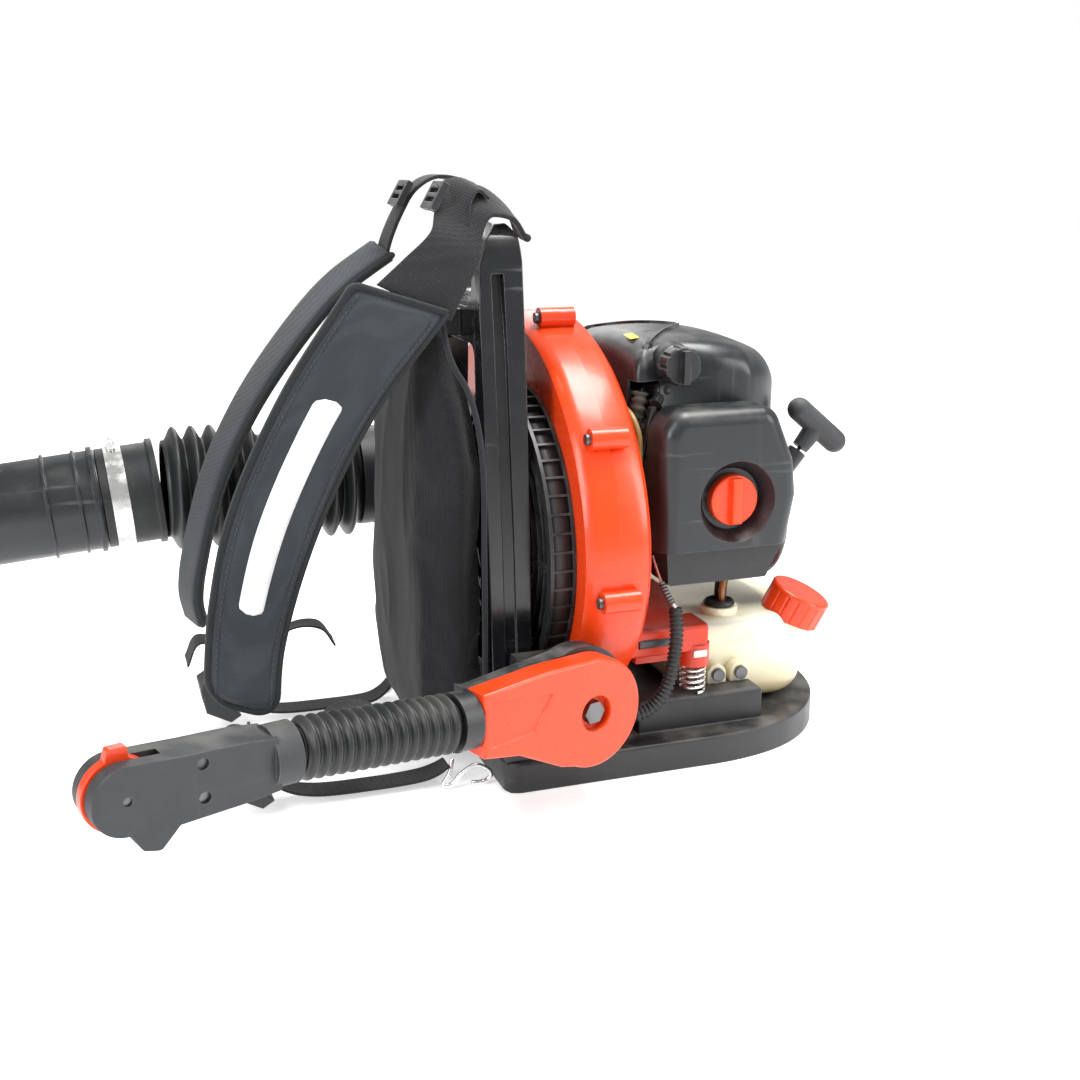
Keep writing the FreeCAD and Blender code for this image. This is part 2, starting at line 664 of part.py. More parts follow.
def starter_housing():
    y0, y1, radius = 138.0, 212.0, 62.0
    shell = cut(rod((0, y0, AXIS_Z), (0, y1, AXIS_Z), radius),
                [rod((0, y0 - 1, AXIS_Z), (0, y1 - 4, AXIS_Z), radius - 4)])
    shell = shell.makeFillet(8, [e for e in edges_at(shell, "Y", y1)])
    slots = []
    for i in range(16):
        slot = block(30, 50, y1 - 10, y1 + 5, AXIS_Z - 2, AXIS_Z + 2)
        slot.rotate(V(0, 0, AXIS_Z), V(0, 1, 0), 22.5 * i + 11)
        slots.append(slot)
    tower = rod(ROPE_EXIT - ROPE_PULL * 46, ROPE_EXIT, 9)
    tower = tower.cut(rod((0, 100, AXIS_Z), (0, y1 - 4, AXIS_Z), radius - 3))
    post = rod((0, 181, AXIS_Z), (0, y1 - 2, AXIS_Z), 9)
    body = fuse([cut(shell, slots), tower, post])
    return body.cut(rod(ROPE_EXIT - ROPE_PULL * 60, ROPE_EXIT + ROPE_PULL * 5, 3.2))


def starter_pulley():
    wheel = fuse([rod((0, 146, AXIS_Z), (0, 149, AXIS_Z), 38),
                  rod((0, 149, AXIS_Z), (0, 157, AXIS_Z), 32),
                  rod((0, 157, AXIS_Z), (0, 160, AXIS_Z), 38)])
    return wheel.cut(rod((0, 140, AXIS_Z), (0, 179, AXIS_Z), JOURNAL + 0.5))


def starter_rope():
    return rod(ROPE_EXIT - ROPE_PULL * 20, ROPE_EXIT + ROPE_PULL * 22, 1.8)


def starter_handle():
    """A T handle whose bar lies across the pull direction."""
    across = V(0, 0.768, -0.64)
    foot = ROPE_EXIT + ROPE_PULL * 4
    bar_at = ROPE_EXIT + ROPE_PULL * 30
    stem = cone(foot, bar_at, 8, 10)
    bar = rod(bar_at - across * 25, bar_at + across * 25, 11)
    ends = [ball(bar_at - across * 25, 11), ball(bar_at + across * 25, 11)]
    body = fuse([stem, bar] + ends)
    return body.cut(rod(ROPE_EXIT, ROPE_EXIT + ROPE_PULL * 22, 1.9))


def muffler():
    body = block(-84, -45, 50, 122, 236, 300)
    body = body.makeFillet(8, edges_along(body, (0, 1, 0)))
    port = rod((-45, CYLINDER_Y, 262), (-41, CYLINDER_Y, 262), 14)
    tail = ring((-70, 122, 250), (-70, 134, 250), 8, 6)
    return fuse([body, port, tail])


def carburetor():
    body = fuse([block(42, 86, 58, 92, 216, 250), rod((41, 75, 232), (86, 75, 232), 15)])
    barrel = rod((62, 75, 250), (62, 75, 262), 12)
    venturi = rod((30, 75, 232), (90, 75, 232), 9)
    return fuse([body, barrel]).cut(venturi)


def cover_plan(inset, z):
    half, front, rear = COVER_HALF - inset, COVER_FRONT + inset, COVER_REAR - inset
    arc = Part.Arc(V(half, 150, z), V(0, rear, z), V(-half, 150, z)).toShape()
    corners = [V(-half, 150, z), V(-half, front, z), V(half, front, z), V(half, 150, z)]
    sides = [Part.LineSegment(a, b).toShape() for a, b in zip(corners, corners[1:])]
    return Part.Face(Part.Wire([arc] + sides))


def engine_cover():
    """A crowned shell over the engine, open below and round the air cleaner."""
    height = COVER_TOP - COVER_BOTTOM
    crown = [(30, 366), (62, 371), (100, COVER_TOP), (135, 371), (165, 361), (190, 348),
             (220, 322)]
    outside = smooth_outline([crown, [(220, 322), (220, 150)], [(220, 150), (30, 150)],
                              [(30, 150), (30, 366)]], "X", -120, 120)
    inside = outside.copy()
    inside.translate(V(0, 0, -COVER_WALL))
    outer = cover_plan(0, COVER_BOTTOM).extrude(V(0, 0, height + 5)).common(outside)
    inner = cover_plan(COVER_WALL, COVER_BOTTOM - 5).extrude(V(0, 0, height + 10))
    shell = outer.cut(inner.common(inside))
    air_window = block(70, 100, 52, 160, 190, 300)
    plug_window = block(70, 100, 30, 92, 296, 338)
    starter_notch = rod((0, 170, AXIS_Z), (0, 230, AXIS_Z), 78)
    rope_notch = rod(ROPE_EXIT - ROPE_PULL * 60, ROPE_EXIT + ROPE_PULL * 10, 16)
    case_notch = block(40, 100, 30, 56, 190, 282)
    outlet = block(-100, -80, 100, 140, 236, 264)
    crankcase_notch = rod((0, 30, AXIS_Z), (0, COVER_FRONT + 4, AXIS_Z), 48)
    return cut(shell, [air_window, plug_window, starter_notch, rope_notch, case_notch,
                       outlet, crankcase_notch])


def cover_wing_knob():
    """A ribbed knob that holds the engine cover."""
    y, z = 78.0, 350.0
    body = rod((COVER_HALF + GAP, y, z), (104, y, z), 17)
    body = body.makeFillet(2.5, edges_at(body, "X", 104))
    grooves = []
    for i in range(10):
        t = math.radians(36 * i)
        grooves.append(rod((88, y + 18 * math.cos(t), z + 18 * math.sin(t)),
                           (110, y + 18 * math.cos(t), z + 18 * math.sin(t)), 2.6))
    wing = block(103, 112, y - 3, y + 3, z - 14, z + 14)
    return fuse([cut(body, grooves), wing])


def air_cleaner_case():
    plate = block(COVER_HALF + GAP, 103, 56, 168, 195, 310)
    plate = plate.makeFillet(10, edges_along(plate, (1, 0, 0), lambda c: c.z > 250))
    pocket = block(COVER_HALF + 6, 110, 60, 162, 204, 302)
    inlet = rod((80, 75, 232), (100, 75, 232), 15)
    lower = prism([(56, 196.6), (168, 196.6), (152, 164), (58, 164)], "X", 89, 126)
    lower = lower.makeFillet(3, edges_along(lower, (1, 0, 0)))
    hollow = block(94, 121, 64, 146, 170, 192)
    post = rod((94, KNOB_CENTRE[0], KNOB_CENTRE[1]), (112, KNOB_CENTRE[0], KNOB_CENTRE[1]), 5)
    body = cut(plate, [pocket, inlet])
    return fuse([body, lower.cut(hollow), post])


def air_filter():
    body = block(95, 101, 62, 158, 208, 298)
    return body.cut(rod((90, KNOB_CENTRE[0], KNOB_CENTRE[1]),
                        (110, KNOB_CENTRE[0], KNOB_CENTRE[1]), 8))


def air_cleaner_cover():
    outline = [(45, 197), (166, 197), (174, 240), (170, 271), (150, 318), (58, 318), (45, 300)]
    outer = prism(outline, "X", 103 + GAP, CLEANER_FACE)
    outer = outer.makeFillet(19, edges_along(outer, (1, 0, 0), lambda c: c.z > 280))
    outer = outer.makeFillet(14, [e for e in edges_at(outer, "X", CLEANER_FACE)
                                  if e.CenterOfMass.z > 200])
    inside = prism([(49, 201), (162, 201), (170, 240), (166, 268), (147, 314), (61, 314),
                    (49, 297)], "X", 100, CLEANER_FACE - 20)
    y, z = KNOB_CENTRE
    recess = cone((CLEANER_FACE - 16, y, z), (CLEANER_FACE + 1, y, z), 27, 36)
    hole = rod((90, y, z), (150, y, z), 5.2)
    return cut(outer, [inside, recess, hole])


def air_cleaner_knob():
    y, z = KNOB_CENTRE
    floor = CLEANER_FACE - 16
    body = rod((floor + GAP, y, z), (floor + 10, y, z), 22)
    body = body.makeFillet(2, edges_at(body, "X", floor + 10))
    bar = block(floor + 6, floor + 17, y - 5, y + 5, z - 20, z + 20)
    bar = bar.makeFillet(3, edges_at(bar, "X", floor + 17))
    stem = rod((113, y, z), (floor + 1, y, z), 5)
    return fuse([body, bar, stem])


def engine_mount():
    """The cast foot under the crankcase, reaching out to a spring cup on each side."""
    saddle = prism([(-100, 86), (100, 86), (100, 122), (52, 140), (-52, 140), (-100, 122)],
                   "Y", 40, 88)
    saddle = saddle.cut(rod((0, 20, AXIS_Z), (0, 120, AXIS_Z), 46 + GAP))
    foot = block(84, 119, CASE_REAR + GAP, 101, 98, 123)
    foot = foot.makeFillet(4, edges_along(foot, (0, 1, 0), lambda c: c.x > 100))
    cup = rod((107, 93, 84), (107, 93, 104), 14)
    slot = block(112, 125, 34, 70, 107, 114)
    feet = both_sides(fuse([foot.cut(slot), cup]))
    return fuse([saddle] + feet)


def isolator_springs():
    """Coil springs that carry the engine on the stand's side blocks."""
    turns, radius, wire = 4.5, 10.5, 1.5
    z0, height = BLOCK_TOP + wire, 84 - BLOCK_TOP - 2 * wire
    helix = Part.makeHelix(height / turns, height, radius)
    section = Part.Wire(Part.Circle(V(radius, 0, 0), V(0, 1, 0), wire).toShape())
    spring = Part.Wire(helix).makePipeShell([section], True, True)
    spring.translate(V(107, 93, z0))
    return group(both_sides(spring))


def front_isolator():
    """Rubber foot between the fan casing's underside and the stand."""
    body = block(-34, 34, -24, 16, BASE_TOP + GAP, 44)
    return body.makeFillet(4, edges_along(body, (0, 0, 1)))


# Fuel

def fuel_tank():
    body = block(-86, 86, 104, 232, TANK_BOTTOM, TANK_TOP)
    body = body.makeFillet(44, edges_along(body, (0, 0, 1), lambda c: c.y > 200))
    body = body.makeFillet(16, edges_along(body, (0, 0, 1), lambda c: c.y < 200))
    body = body.makeFillet(20, edges_at(body, "Z", TANK_BOTTOM))
    body = body.makeFillet(12, edges_at(body, "Z", TANK_TOP))
    neck = rod(CAP_AT - CAP_AXIS * 34, CAP_AT, 24)
    boss = rod((58, 142, 100), (58, 142, 119), 17)
    lugs = [rod((86, y, 66), (98, y, 66), 9) for y in (122, 145)]
    lugs = [fuse([lug, block(80, 98, y - 9, y + 9, 57 + GAP, 66)])
            for lug, y in zip(lugs, (122, 145))]
    outer = fuse([body, neck, boss] + lugs)
    inside = block(-82, 82, 108, 228, TANK_BOTTOM + 4, TANK_TOP - 4)
    inside = inside.makeFillet(36, edges_along(inside, (0, 0, 1), lambda c: c.y > 200))
    inside = inside.makeFillet(14, edges_at(inside, "Z", TANK_BOTTOM + 4))
    seat = ring(CAP_AT - CAP_AXIS * 13, CAP_AT + CAP_AXIS * 20, 30, 24)
    inside = inside.cut(rod(CAP_AT - CAP_AXIS * 19, CAP_AT + CAP_AXIS * 30, 34))
    mouth = rod(CAP_AT - CAP_AXIS * 40, CAP_AT + CAP_AXIS, 20)
    grommet_hole = rod((58, 142, 90), (58, 142, 130), 10)
    holes = [rod((70, y, 66), (104, y, 66), 3.1) for y in (122, 145)]
    return cut(outer, [seat, inside, mouth, grommet_hole] + holes)


def cap_gasket():
    return ring(CAP_AT + CAP_AXIS * 0.1, CAP_AT + CAP_AXIS * 2.1, 24, 18)


def fuel_cap():
    """A screwed cap with ribbed sides, its plug held inside the neck."""
    low, high = CAP_AT - CAP_AXIS * 12, CAP_AT + CAP_AXIS * 15
    body = rod(low, high, 29)
    body = body.makeFillet(3, [e for e in body.Edges if (e.CenterOfMass - high).Length < 1])
    hollow = rod(low - CAP_AXIS, CAP_AT + CAP_AXIS * 2.5, 25.5)
    side = CAP_AXIS.cross(V(1, 0, 0)).normalize()
    flutes = []
    for i in range(18):
        flute = rod(low - CAP_AXIS + side * 30.6, high - CAP_AXIS * 4 + side * 30.6, 2.4)
        flute.rotate(CAP_AT, CAP_AXIS, 20 * i)
        flutes.append(flute)
    plug = rod(CAP_AT - CAP_AXIS * 10, CAP_AT + CAP_AXIS * 3, 17.5)
    return fuse([cut(body, [hollow] + flutes), plug])


def fuel_lines():
    """Two hoses out of a rubber grommet on the tank's boss."""
    spread = (-4.5, 4.5)
    lines = [cord([(58 + d, 142, 108), (58 + d, 142, 130), (64 + d, 140, 144),
                   (78 + d, 136, 153), (90 + d, 133, 158)], 3.0) for d in spread]
    grommet = fuse([rod((58, 142, 119.2), (58, 142, 124), 14),
                    rod((58, 142, 106), (58, 142, 119.2), 9.9)])
    grommet = cut(grommet, [rod((58 + d, 142, 100), (58 + d, 142, 130), 3.1)
                            for d in spread])
    return group(lines + [grommet])


def tank_screws():
    return [fuse([rod((98.2, y, 66), (103, y, 66), 6), rod((84, y, 66), (98.2, y, 66), 3)])
            for y in (122, 145)]


# Throttle

def arm(shape):
    """Places a shape built about the hub, with the arm along -Y, onto the machine."""
    shape.rotate(V(0, 0, 0), V(0, 0, 1), ARM_SPLAY)
    shape.translate(HUB)
    return shape


def arm_outline(radius, x0, x1):
    """A disc at the hub that runs into the arm's flat."""
    disc = rod((x0, 0, 0), (x1, 0, 0), radius)
    web = prism([(-2, radius - 0.2), (-50, 46), (-110, 41), (-110, -11), (-76, -17),
                 (-34, -radius + 8), (-2, -radius + 0.5)], "X", x0, x1)
    return fuse([disc, web])


def throttle_bracket():
    """A post on the stand and a boss along the hub's axis."""
    post = prism([(-94, BASE_TOP + GAP), (-20, BASE_TOP + GAP), (-34, 118), (-84, 118)],
                 "X", 121, 139)
    boss = arm(rod((-41, 0, 0), (-80, 0, 0), 25))
    hole = arm(rod((-20, 0, 0), (-90, 0, 0), HUB_PIN + 0.02))
    trim = block(100, 121, -120, 20, 0, 200)
    return cut(fuse([post, boss]), [hole, trim])


def throttle_arm():
    """The arm's inner half, with a socket for the sleeve."""
    disc = rod((-22 - GAP, 0, 0), (-40, 0, 0), 50)
    web = prism([(-10, 48), (-50, 44), (-108, 38), (-108, -4), (-60, -14), (-10, -48)],
                "X", -38, -22 - GAP)
    collar = rod((-19, -112, 17), (-19, -128, 18), 23)
    neck = prism([(-96, 36), (-112, 40), (-112, -5), (-96, -2)], "X", -38, -22 - GAP)
    body = fuse([disc, web, neck, collar])
    return arm(body.cut(rod((-60, 0, 0), (0, 0, 0), HUB_PIN + RUN)))


def hub_cover():
    body = arm_outline(HUB_RADIUS, -22, 0)
    body = body.makeFillet(3, edges_at(body, "X", 0.0))
    recess = rod((-9, 0, 0), (1, 0, 0), 15)
    panel = prism([(-44, 27), (-103, 33), (-103, -3), (-62, 0)], "X", -1.6, 1)
    return arm(cut(body, [recess, panel, rod((-60, 0, 0), (0, 0, 0), HUB_PIN + RUN)]))


def hub_bolt():
    """The pivot bolt of the throttle arm."""
    shaft = rod((-78, 0, 0), (-8, 0, 0), HUB_PIN)
    head = prism([(10 * math.cos(math.radians(60 * i)), 10 * math.sin(math.radians(60 * i)))
                  for i in range(6)], "X", -8.6, -2)
    return arm(fuse([shaft, head]))


def arm_sleeve():
    """The corrugated sleeve between the arm and the grip."""
    start, end = 131.0, 258.5
    count = 13
    pitch = (end - start) / count
    outer = [(start, 19.5)]
    for i in range(count):
        u = start + i * pitch
        outer += [(u + 0.15 * pitch, 19.5), (u + 0.3 * pitch, 22.5), (u + 0.7 * pitch, 22.5),
                  (u + 0.85 * pitch, 19.5)]
    outer.append((end, 19.5))
    outline = outer + [(end, 14), (start, 14)]
    corners = [V(-19, -u, r) for u, r in outline]
    face = Part.Face(Part.makePolygon(corners + corners[:1]))
    sleeve = face.revolve(V(-19, 0, 0), V(0, 1, 0), 360)
    sleeve.rotate(V(-19, -128, 0), V(1, 0, 0), SLEEVE_RISE)
    sleeve.translate(V(0, 0, 18))
    return arm(sleeve)


def grip_body():
    """The whole grip: a cone out of the sleeve, flat sides, a finger hump and round nose."""
    y, z = LEVER_AT
    socket = rod((-19, -262, 31), (-19, -282, 31.5), 22.5)
    sides = prism([(-278, 50), (-300, 53), (-340, 55), (y, 58), (y, 10), (-378, -3),
                   (-366, -6), (-352, 8), (-300, 10), (-278, 12)], "X", -36, -2)
    nose = rod((-36, y, z), (-2, y, z), 24)
    return fuse([sides.makeFillet(4, edges_along(sides, (1, 0, 0), lambda c: c.z < 0)),
                 nose, socket])


def grip_half(x0, x1):
    y, z = LEVER_AT
    half = grip_body().common(block(x0, x1, -450, -250, -60, 120))
    pocket = rod((-23.8, y, z), (-14.2, y, z), LEVER_RADIUS + 1)
    tab_way = rod((-23.8, y, z), (-14.2, y, z), LEVER_RADIUS + 10)
    tab_way = tab_way.common(block(-30, 0, y - 16, y + 40, z + 4, z + 40))
    pivot = rod((-40, y, z), (0, y, z), 3 + RUN)
    screws = [rod((-31, SCREW_LINE, h), (0, SCREW_LINE, h), 2.1) for h in SCREW_HEIGHTS]
    heads = [rod((-7.6, SCREW_LINE, h), (5, SCREW_LINE, h), 4.2) for h in SCREW_HEIGHTS]
    return arm(cut(half, [pocket, tab_way, pivot] + screws + heads))


def grip_left():
    return grip_half(-19 + 0.05, 20)


def grip_right():
    return grip_half(-60, -19 - 0.05)


def grip_fasteners():
    """Two screws that hold the halves, and the pin that the lever turns on."""
    y, z = LEVER_AT
    screws = [fuse([rod((-30, SCREW_LINE, h), (-7.5, SCREW_LINE, h), 2),
                    rod((-7.5, SCREW_LINE, h), (-5.2, SCREW_LINE, h), 4)])
              for h in SCREW_HEIGHTS]
    return group(arm(s) for s in screws + [rod((-34, y, z), (-4, y, z), 3)])


def throttle_lever():
    y, z = LEVER_AT
    disc = rod((-23, y, z), (-15, y, z), LEVER_RADIUS)
    tab = prism([(y + 8, z + 20), (y + 7, z + 33), (y - 6, z + 33), (y - 10, z + 20)],
                "X", -23, -15)
    body = fuse([disc, tab.makeFillet(2, edges_along(tab, (1, 0, 0), lambda c: c.z > z + 30))])
    return arm(body.cut(rod((-30, y, z), (0, y, z), 3 + RUN)))


def throttle_cable():
    """The corrugated cable conduit up from behind the hub, with the bare cable's end."""
    conduit = cord([(129, -19, 60), (133, 10, 52), (136, 40, 56), (136, 58, 80),
                    (135, 64, 116), (133, 62, 146)], 6)
    cable = cord([(133, 62, 146.2), (124, 55, 158), (112, 52, 174), (106, 51, 190)], 1.5)
    return group([conduit, cable.cut(conduit)])


def machine_screws():
    """Every screw of the casing and tank, and the throttle arm's pivot bolt."""
    return group(case_screws() + tank_screws() + [hub_bolt()])


SOLIDS = {
    "shoulder_strap_left": shoulder_strap_left,
    "shoulder_strap_right": shoulder_strap_right,
    "top_webbing": lambda: group([top_webbing_left(), top_webbing_right()]),
    "base_stand": base_stand,
    "back_frame": back_frame,
    "back_pad": back_pad,
    "fan_case_front": fan_case_front,
    "fan_case_rear": fan_case_rear,
    "machine_screws": machine_screws,
    "impeller": impeller,
    "intake_guard": intake_guard,
    "outlet_elbow": outlet_elbow,
    "hose_rear": lambda: hose(HOSE_START, HOSE_MIDDLE),
    "hose_front": lambda: hose(HOSE_MIDDLE - GAP, HOSE_END),
    "hose_cuff": hose_cuff,
    "hose_clamp": hose_clamp,
    "swivel_pipe": swivel_pipe,
    "straight_pipe": straight_pipe,
    "nozzle": nozzle,
    "crankcase": crankcase,
    "crankshaft": crankshaft,
    "connecting_rod": connecting_rod,
    "piston": piston,
    "cylinder": cylinder,
    "spark_plug": spark_plug,
    "plug_boot": plug_boot,
    "ignition_lead": ignition_lead,
    "breather_hose": breather_hose,
    "flywheel": flywheel,
    "starter_housing": starter_housing,
    "starter_pulley": starter_pulley,
    "starter_rope": starter_rope,
    "starter_handle": starter_handle,
    "muffler": muffler,
    "carburetor": carburetor,
    "engine_cover": engine_cover,
    "cover_wing_knob": cover_wing_knob,
    "air_cleaner_case": air_cleaner_case,
    "air_filter": air_filter,
    "air_cleaner_cover": air_cleaner_cover,
    "air_cleaner_knob": air_cleaner_knob,
    "engine_mount": engine_mount,
    "isolator_springs": isolator_springs,
    "front_isolator": front_isolator,
    "fuel_tank": fuel_tank,
    "fuel_cap": fuel_cap,
    "cap_gasket": cap_gasket,
    "fuel_lines": fuel_lines,
    "throttle_bracket": throttle_bracket,
    "throttle_arm": throttle_arm,
    "hub_cover": hub_cover,
    "arm_sleeve": arm_sleeve,
    "grip_left": grip_left,
    "grip_right": grip_right,
    "grip_fasteners": grip_fasteners,
    "throttle_lever": throttle_lever,
    "throttle_cable": throttle_cable,
}

MIRRORED = {
    "lower_webbing": lambda: [lower_webbing(), strap_tail()],
    "strap_buckles": lambda: [strap_adjuster(), strap_buckle()],
    "strap_hooks": lambda: [strap_hook()],
}


def save(name, shape):
    if not shape.isValid():
        print("INVALID", name)
    shape.exportStep(f"parts/{name}.step")


def main():
    os.makedirs("parts", exist_ok=True)
    for name, make in SOLIDS.items():
        save(name, make())
    for name, make in MIRRORED.items():
        save(name, group(side for shape in make() for side in both_sides(shape)))


main()
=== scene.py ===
"""Backpack leaf blower: the looks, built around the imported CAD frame.

Lengths in the lists below are millimetres, and mm() turns them into the scene's metres.
+X is the operator's left, -Y is the operator's side, +Z is up, and the floor is at zero.
"""
import json
import math

import bmesh
import bpy
import numpy as np
from mathutils import Matrix, Vector, noise


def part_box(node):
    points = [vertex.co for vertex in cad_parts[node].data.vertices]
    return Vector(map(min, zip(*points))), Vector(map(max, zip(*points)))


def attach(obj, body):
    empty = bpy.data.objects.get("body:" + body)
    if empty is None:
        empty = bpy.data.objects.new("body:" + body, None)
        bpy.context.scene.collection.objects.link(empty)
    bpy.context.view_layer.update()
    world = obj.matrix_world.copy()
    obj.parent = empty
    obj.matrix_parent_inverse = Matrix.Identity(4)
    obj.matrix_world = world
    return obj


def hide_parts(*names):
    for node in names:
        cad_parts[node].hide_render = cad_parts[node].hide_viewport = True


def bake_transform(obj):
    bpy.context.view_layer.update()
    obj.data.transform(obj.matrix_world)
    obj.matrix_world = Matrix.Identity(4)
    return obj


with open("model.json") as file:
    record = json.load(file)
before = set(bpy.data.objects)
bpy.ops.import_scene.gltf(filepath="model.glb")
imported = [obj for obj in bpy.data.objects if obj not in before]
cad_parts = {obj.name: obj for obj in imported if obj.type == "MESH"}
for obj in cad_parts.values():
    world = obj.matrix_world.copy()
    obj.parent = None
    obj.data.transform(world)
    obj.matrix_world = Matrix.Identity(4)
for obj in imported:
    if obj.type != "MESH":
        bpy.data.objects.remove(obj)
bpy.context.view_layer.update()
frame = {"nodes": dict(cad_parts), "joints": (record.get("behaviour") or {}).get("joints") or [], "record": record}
NODES = frame["nodes"]
RECORD = frame["record"]
BODY = {n: body for body, nodes in RECORD["behaviour"]["bodies"].items() for n in nodes}
SLOT = {row["node"]: row["material_slot"] for row in RECORD["subparts"]}
JOINT = {joint["name"]: joint for joint in frame["joints"]}
scene = bpy.context.scene


def mm(x, y, z):
    return Vector((x, y, z)) / 1000


# Mesh tools

def make_object(name, verts, faces):
    mesh = bpy.data.meshes.new(name)
    mesh.from_pydata([tuple(v) for v in verts], [], faces)
    mesh.validate()
    tidy = bmesh.new()
    tidy.from_mesh(mesh)
    bmesh.ops.recalc_face_normals(tidy, faces=tidy.faces)
    tidy.to_mesh(mesh)
    tidy.free()
    mesh.polygons.foreach_set("use_smooth", [True] * len(mesh.polygons))
    obj = bpy.data.objects.new(name, mesh)
    scene.collection.objects.link(obj)
    return obj


def loft(name, rings, loop=False, cap=True):
    """A skin over rings of equally many points, closed round each ring."""
    size, count = len(rings[0]), len(rings)
    faces = []
    for i in range(count if loop else count - 1):
        j = (i + 1) % count
        for k in range(size):
            m = (k + 1) % size
            faces.append((i * size + k, i * size + m, j * size + m, j * size + k))
    if cap and not loop:
        faces.append(tuple(range(size)))
        faces.append(tuple((count - 1) * size + k for k in range(size)))
    return make_object(name, [p for ring in rings for p in ring], faces)


def smooth_rows(rows, count):
    """Rows spaced evenly along a smooth curve. The first three columns are the place."""
    rows = np.array(rows, float)
    padded = np.vstack([2 * rows[0] - rows[1], rows, 2 * rows[-1] - rows[-2]])
    dense = []
    for i in range(len(rows) - 1):
        a, b, c, d = padded[i:i + 4]
        for t in np.linspace(0, 1, 24, endpoint=False):
            dense.append(0.5 * (2 * b + (c - a) * t + (2 * a - 5 * b + 4 * c - d) * t ** 2
                                + (3 * b - a - 3 * c + d) * t ** 3))
    dense = np.array(dense + [rows[-1]])
    run = np.r_[0, np.cumsum(np.linalg.norm(np.diff(dense[:, :3], axis=0), axis=1))]
    at = np.linspace(0, run[-1], count)
    return np.column_stack([np.interp(at, run, dense[:, k]) for k in range(dense.shape[1])])


def curve_value(points, x):
    """A smooth curve's height at x, through points in order of x."""
    xs, ys = zip(*points)
    x = min(max(x, xs[0]), xs[-1])
    i = max(k for k in range(len(xs) - 1) if xs[k] <= x)
    slopes = [(ys[k + 1] - ys[k]) / (xs[k + 1] - xs[k]) for k in range(len(xs) - 1)]
    m0 = slopes[i] if i == 0 else (slopes[i - 1] + slopes[i]) / 2
    m1 = slopes[i] if i == len(slopes) - 1 else (slopes[i] + slopes[i + 1]) / 2
    h = xs[i + 1] - xs[i]
    t = (x - xs[i]) / h
    return ((2 * t ** 3 - 3 * t ** 2 + 1) * ys[i] + (t ** 3 - 2 * t ** 2 + t) * h * m0
            + (3 * t ** 2 - 2 * t ** 3) * ys[i + 1] + (t ** 3 - t ** 2) * h * m1)


def rounded(angle, power):
    """A point of a unit superellipse; a higher power is squarer."""
    c, s = math.cos(angle), math.sin(angle)
    return (math.copysign(abs(c) ** (2 / power), c), math.copysign(abs(s) ** (2 / power), s))


def ribbon(name, stations, thickness, count=70, sides=24, wave=0.0):
    """Webbing through stations of a place and a half-width vector, in millimetres."""
    rows = smooth_rows([tuple(p) + tuple(w) for p, w in stations], count)
    rings = []
    for i, row in enumerate(rows):
        place, half = Vector(row[:3]), Vector(row[3:])
        ahead = Vector(rows[min(i + 1, count - 1)][:3]) - Vector(rows[max(i - 1, 0)][:3])
        up = half.cross(ahead).normalized()
        ripple = wave * noise.noise(place * 0.03)
        ring = []
        for k in range(sides):
            a, b = rounded(2 * math.pi * k / sides, 7)
            bend = ripple * (1 - a * a)
            ring.append((place + half * a + up * (b * thickness / 2 + bend)) / 1000)
        rings.append(ring)
    return loft(name, rings)


def tube(name, points, radius, count=60, sides=20):
    """A round tube along a smooth path. The radius is a number or a function of distance."""
    rows = smooth_rows(points, count)
    side, walked, rings = None, 0.0, []
    for i, row in enumerate(rows):
        ahead = (Vector(rows[min(i + 1, count - 1)]) - Vector(rows[max(i - 1, 0)])).normalized()
        if side is None:
            side = ahead.orthogonal()
        side = (side - ahead * side.dot(ahead)).normalized()
        up = ahead.cross(side)
        if i:
            walked += (Vector(row) - Vector(rows[i - 1])).length
        r = radius(walked) if callable(radius) else radius
        rings.append([(Vector(row) + (side * math.cos(t) + up * math.sin(t)) * r) / 1000
                      for t in (2 * math.pi * k / sides for k in range(sides))])
    return loft(name, rings)


def turned(name, profile, start, along, sides=96):
    """A closed profile of (distance, radius) turned about the line from start."""
    along = along.normalized()
    side = along.orthogonal().normalized()
    up = along.cross(side)
    rings = []
    for k in range(sides):
        t = 2 * math.pi * k / sides
        out = side * math.cos(t) + up * math.sin(t)
        rings.append([(start + along * u + out * r) / 1000 for u, r in profile])
    return loft(name, rings, loop=True)


def plate(name, centre, half_a, half_b, lift, corner=0.25, sides=32):
    """A thin label with rounded corners; half_a and half_b span it, lift is its thickness."""
    power = 2 / corner
    rings = []
    for scale, height in ((0.2, 0), (1, 0), (1, 0.7), (0.97, 1), (0.2, 1)):
        ring = []
        for k in range(sides):
            a, b = rounded(2 * math.pi * k / sides, power)
            ring.append((centre + (half_a * a + half_b * b) * scale + lift * height) / 1000)
        rings.append(ring)
    return loft(name, rings)


def stitch_row(name, places, outs, pitch=5.0, length=3.4, thick=0.5):
    """Thread stitches along a line of places, lying on a surface that faces outs."""
    verts, faces = [], []
    walked, target = 0.0, 0.0
    for i in range(len(places) - 1):
        a, b = places[i], places[i + 1]
        step = (b - a).length
        while target <= walked + step and step > 0:
            at = a.lerp(b, (target - walked) / step)
            along, out = (b - a).normalized(), outs[i]
            side = along.cross(out).normalized()
            base = len(verts)
            for u, r in ((-1, 0.35), (-0.6, 1), (0.6, 1), (1, 0.35)):
                for k in range(6):
                    t = math.pi * k / 3
                    verts.append((at + along * (u * length / 2)
                                  + (side * math.cos(t) + out * math.sin(t)) * thick * r) / 1000)
            for j in range(3):
                for k in range(6):
                    m = (k + 1) % 6
                    faces.append((base + j * 6 + k, base + j * 6 + m,
                                  base + j * 6 + 6 + m, base + j * 6 + 6 + k))
            faces.append(tuple(base + k for k in range(6)))
            faces.append(tuple(base + 18 + k for k in range(6)))
            target += pitch
        walked += step
    return make_object(name, verts, faces)


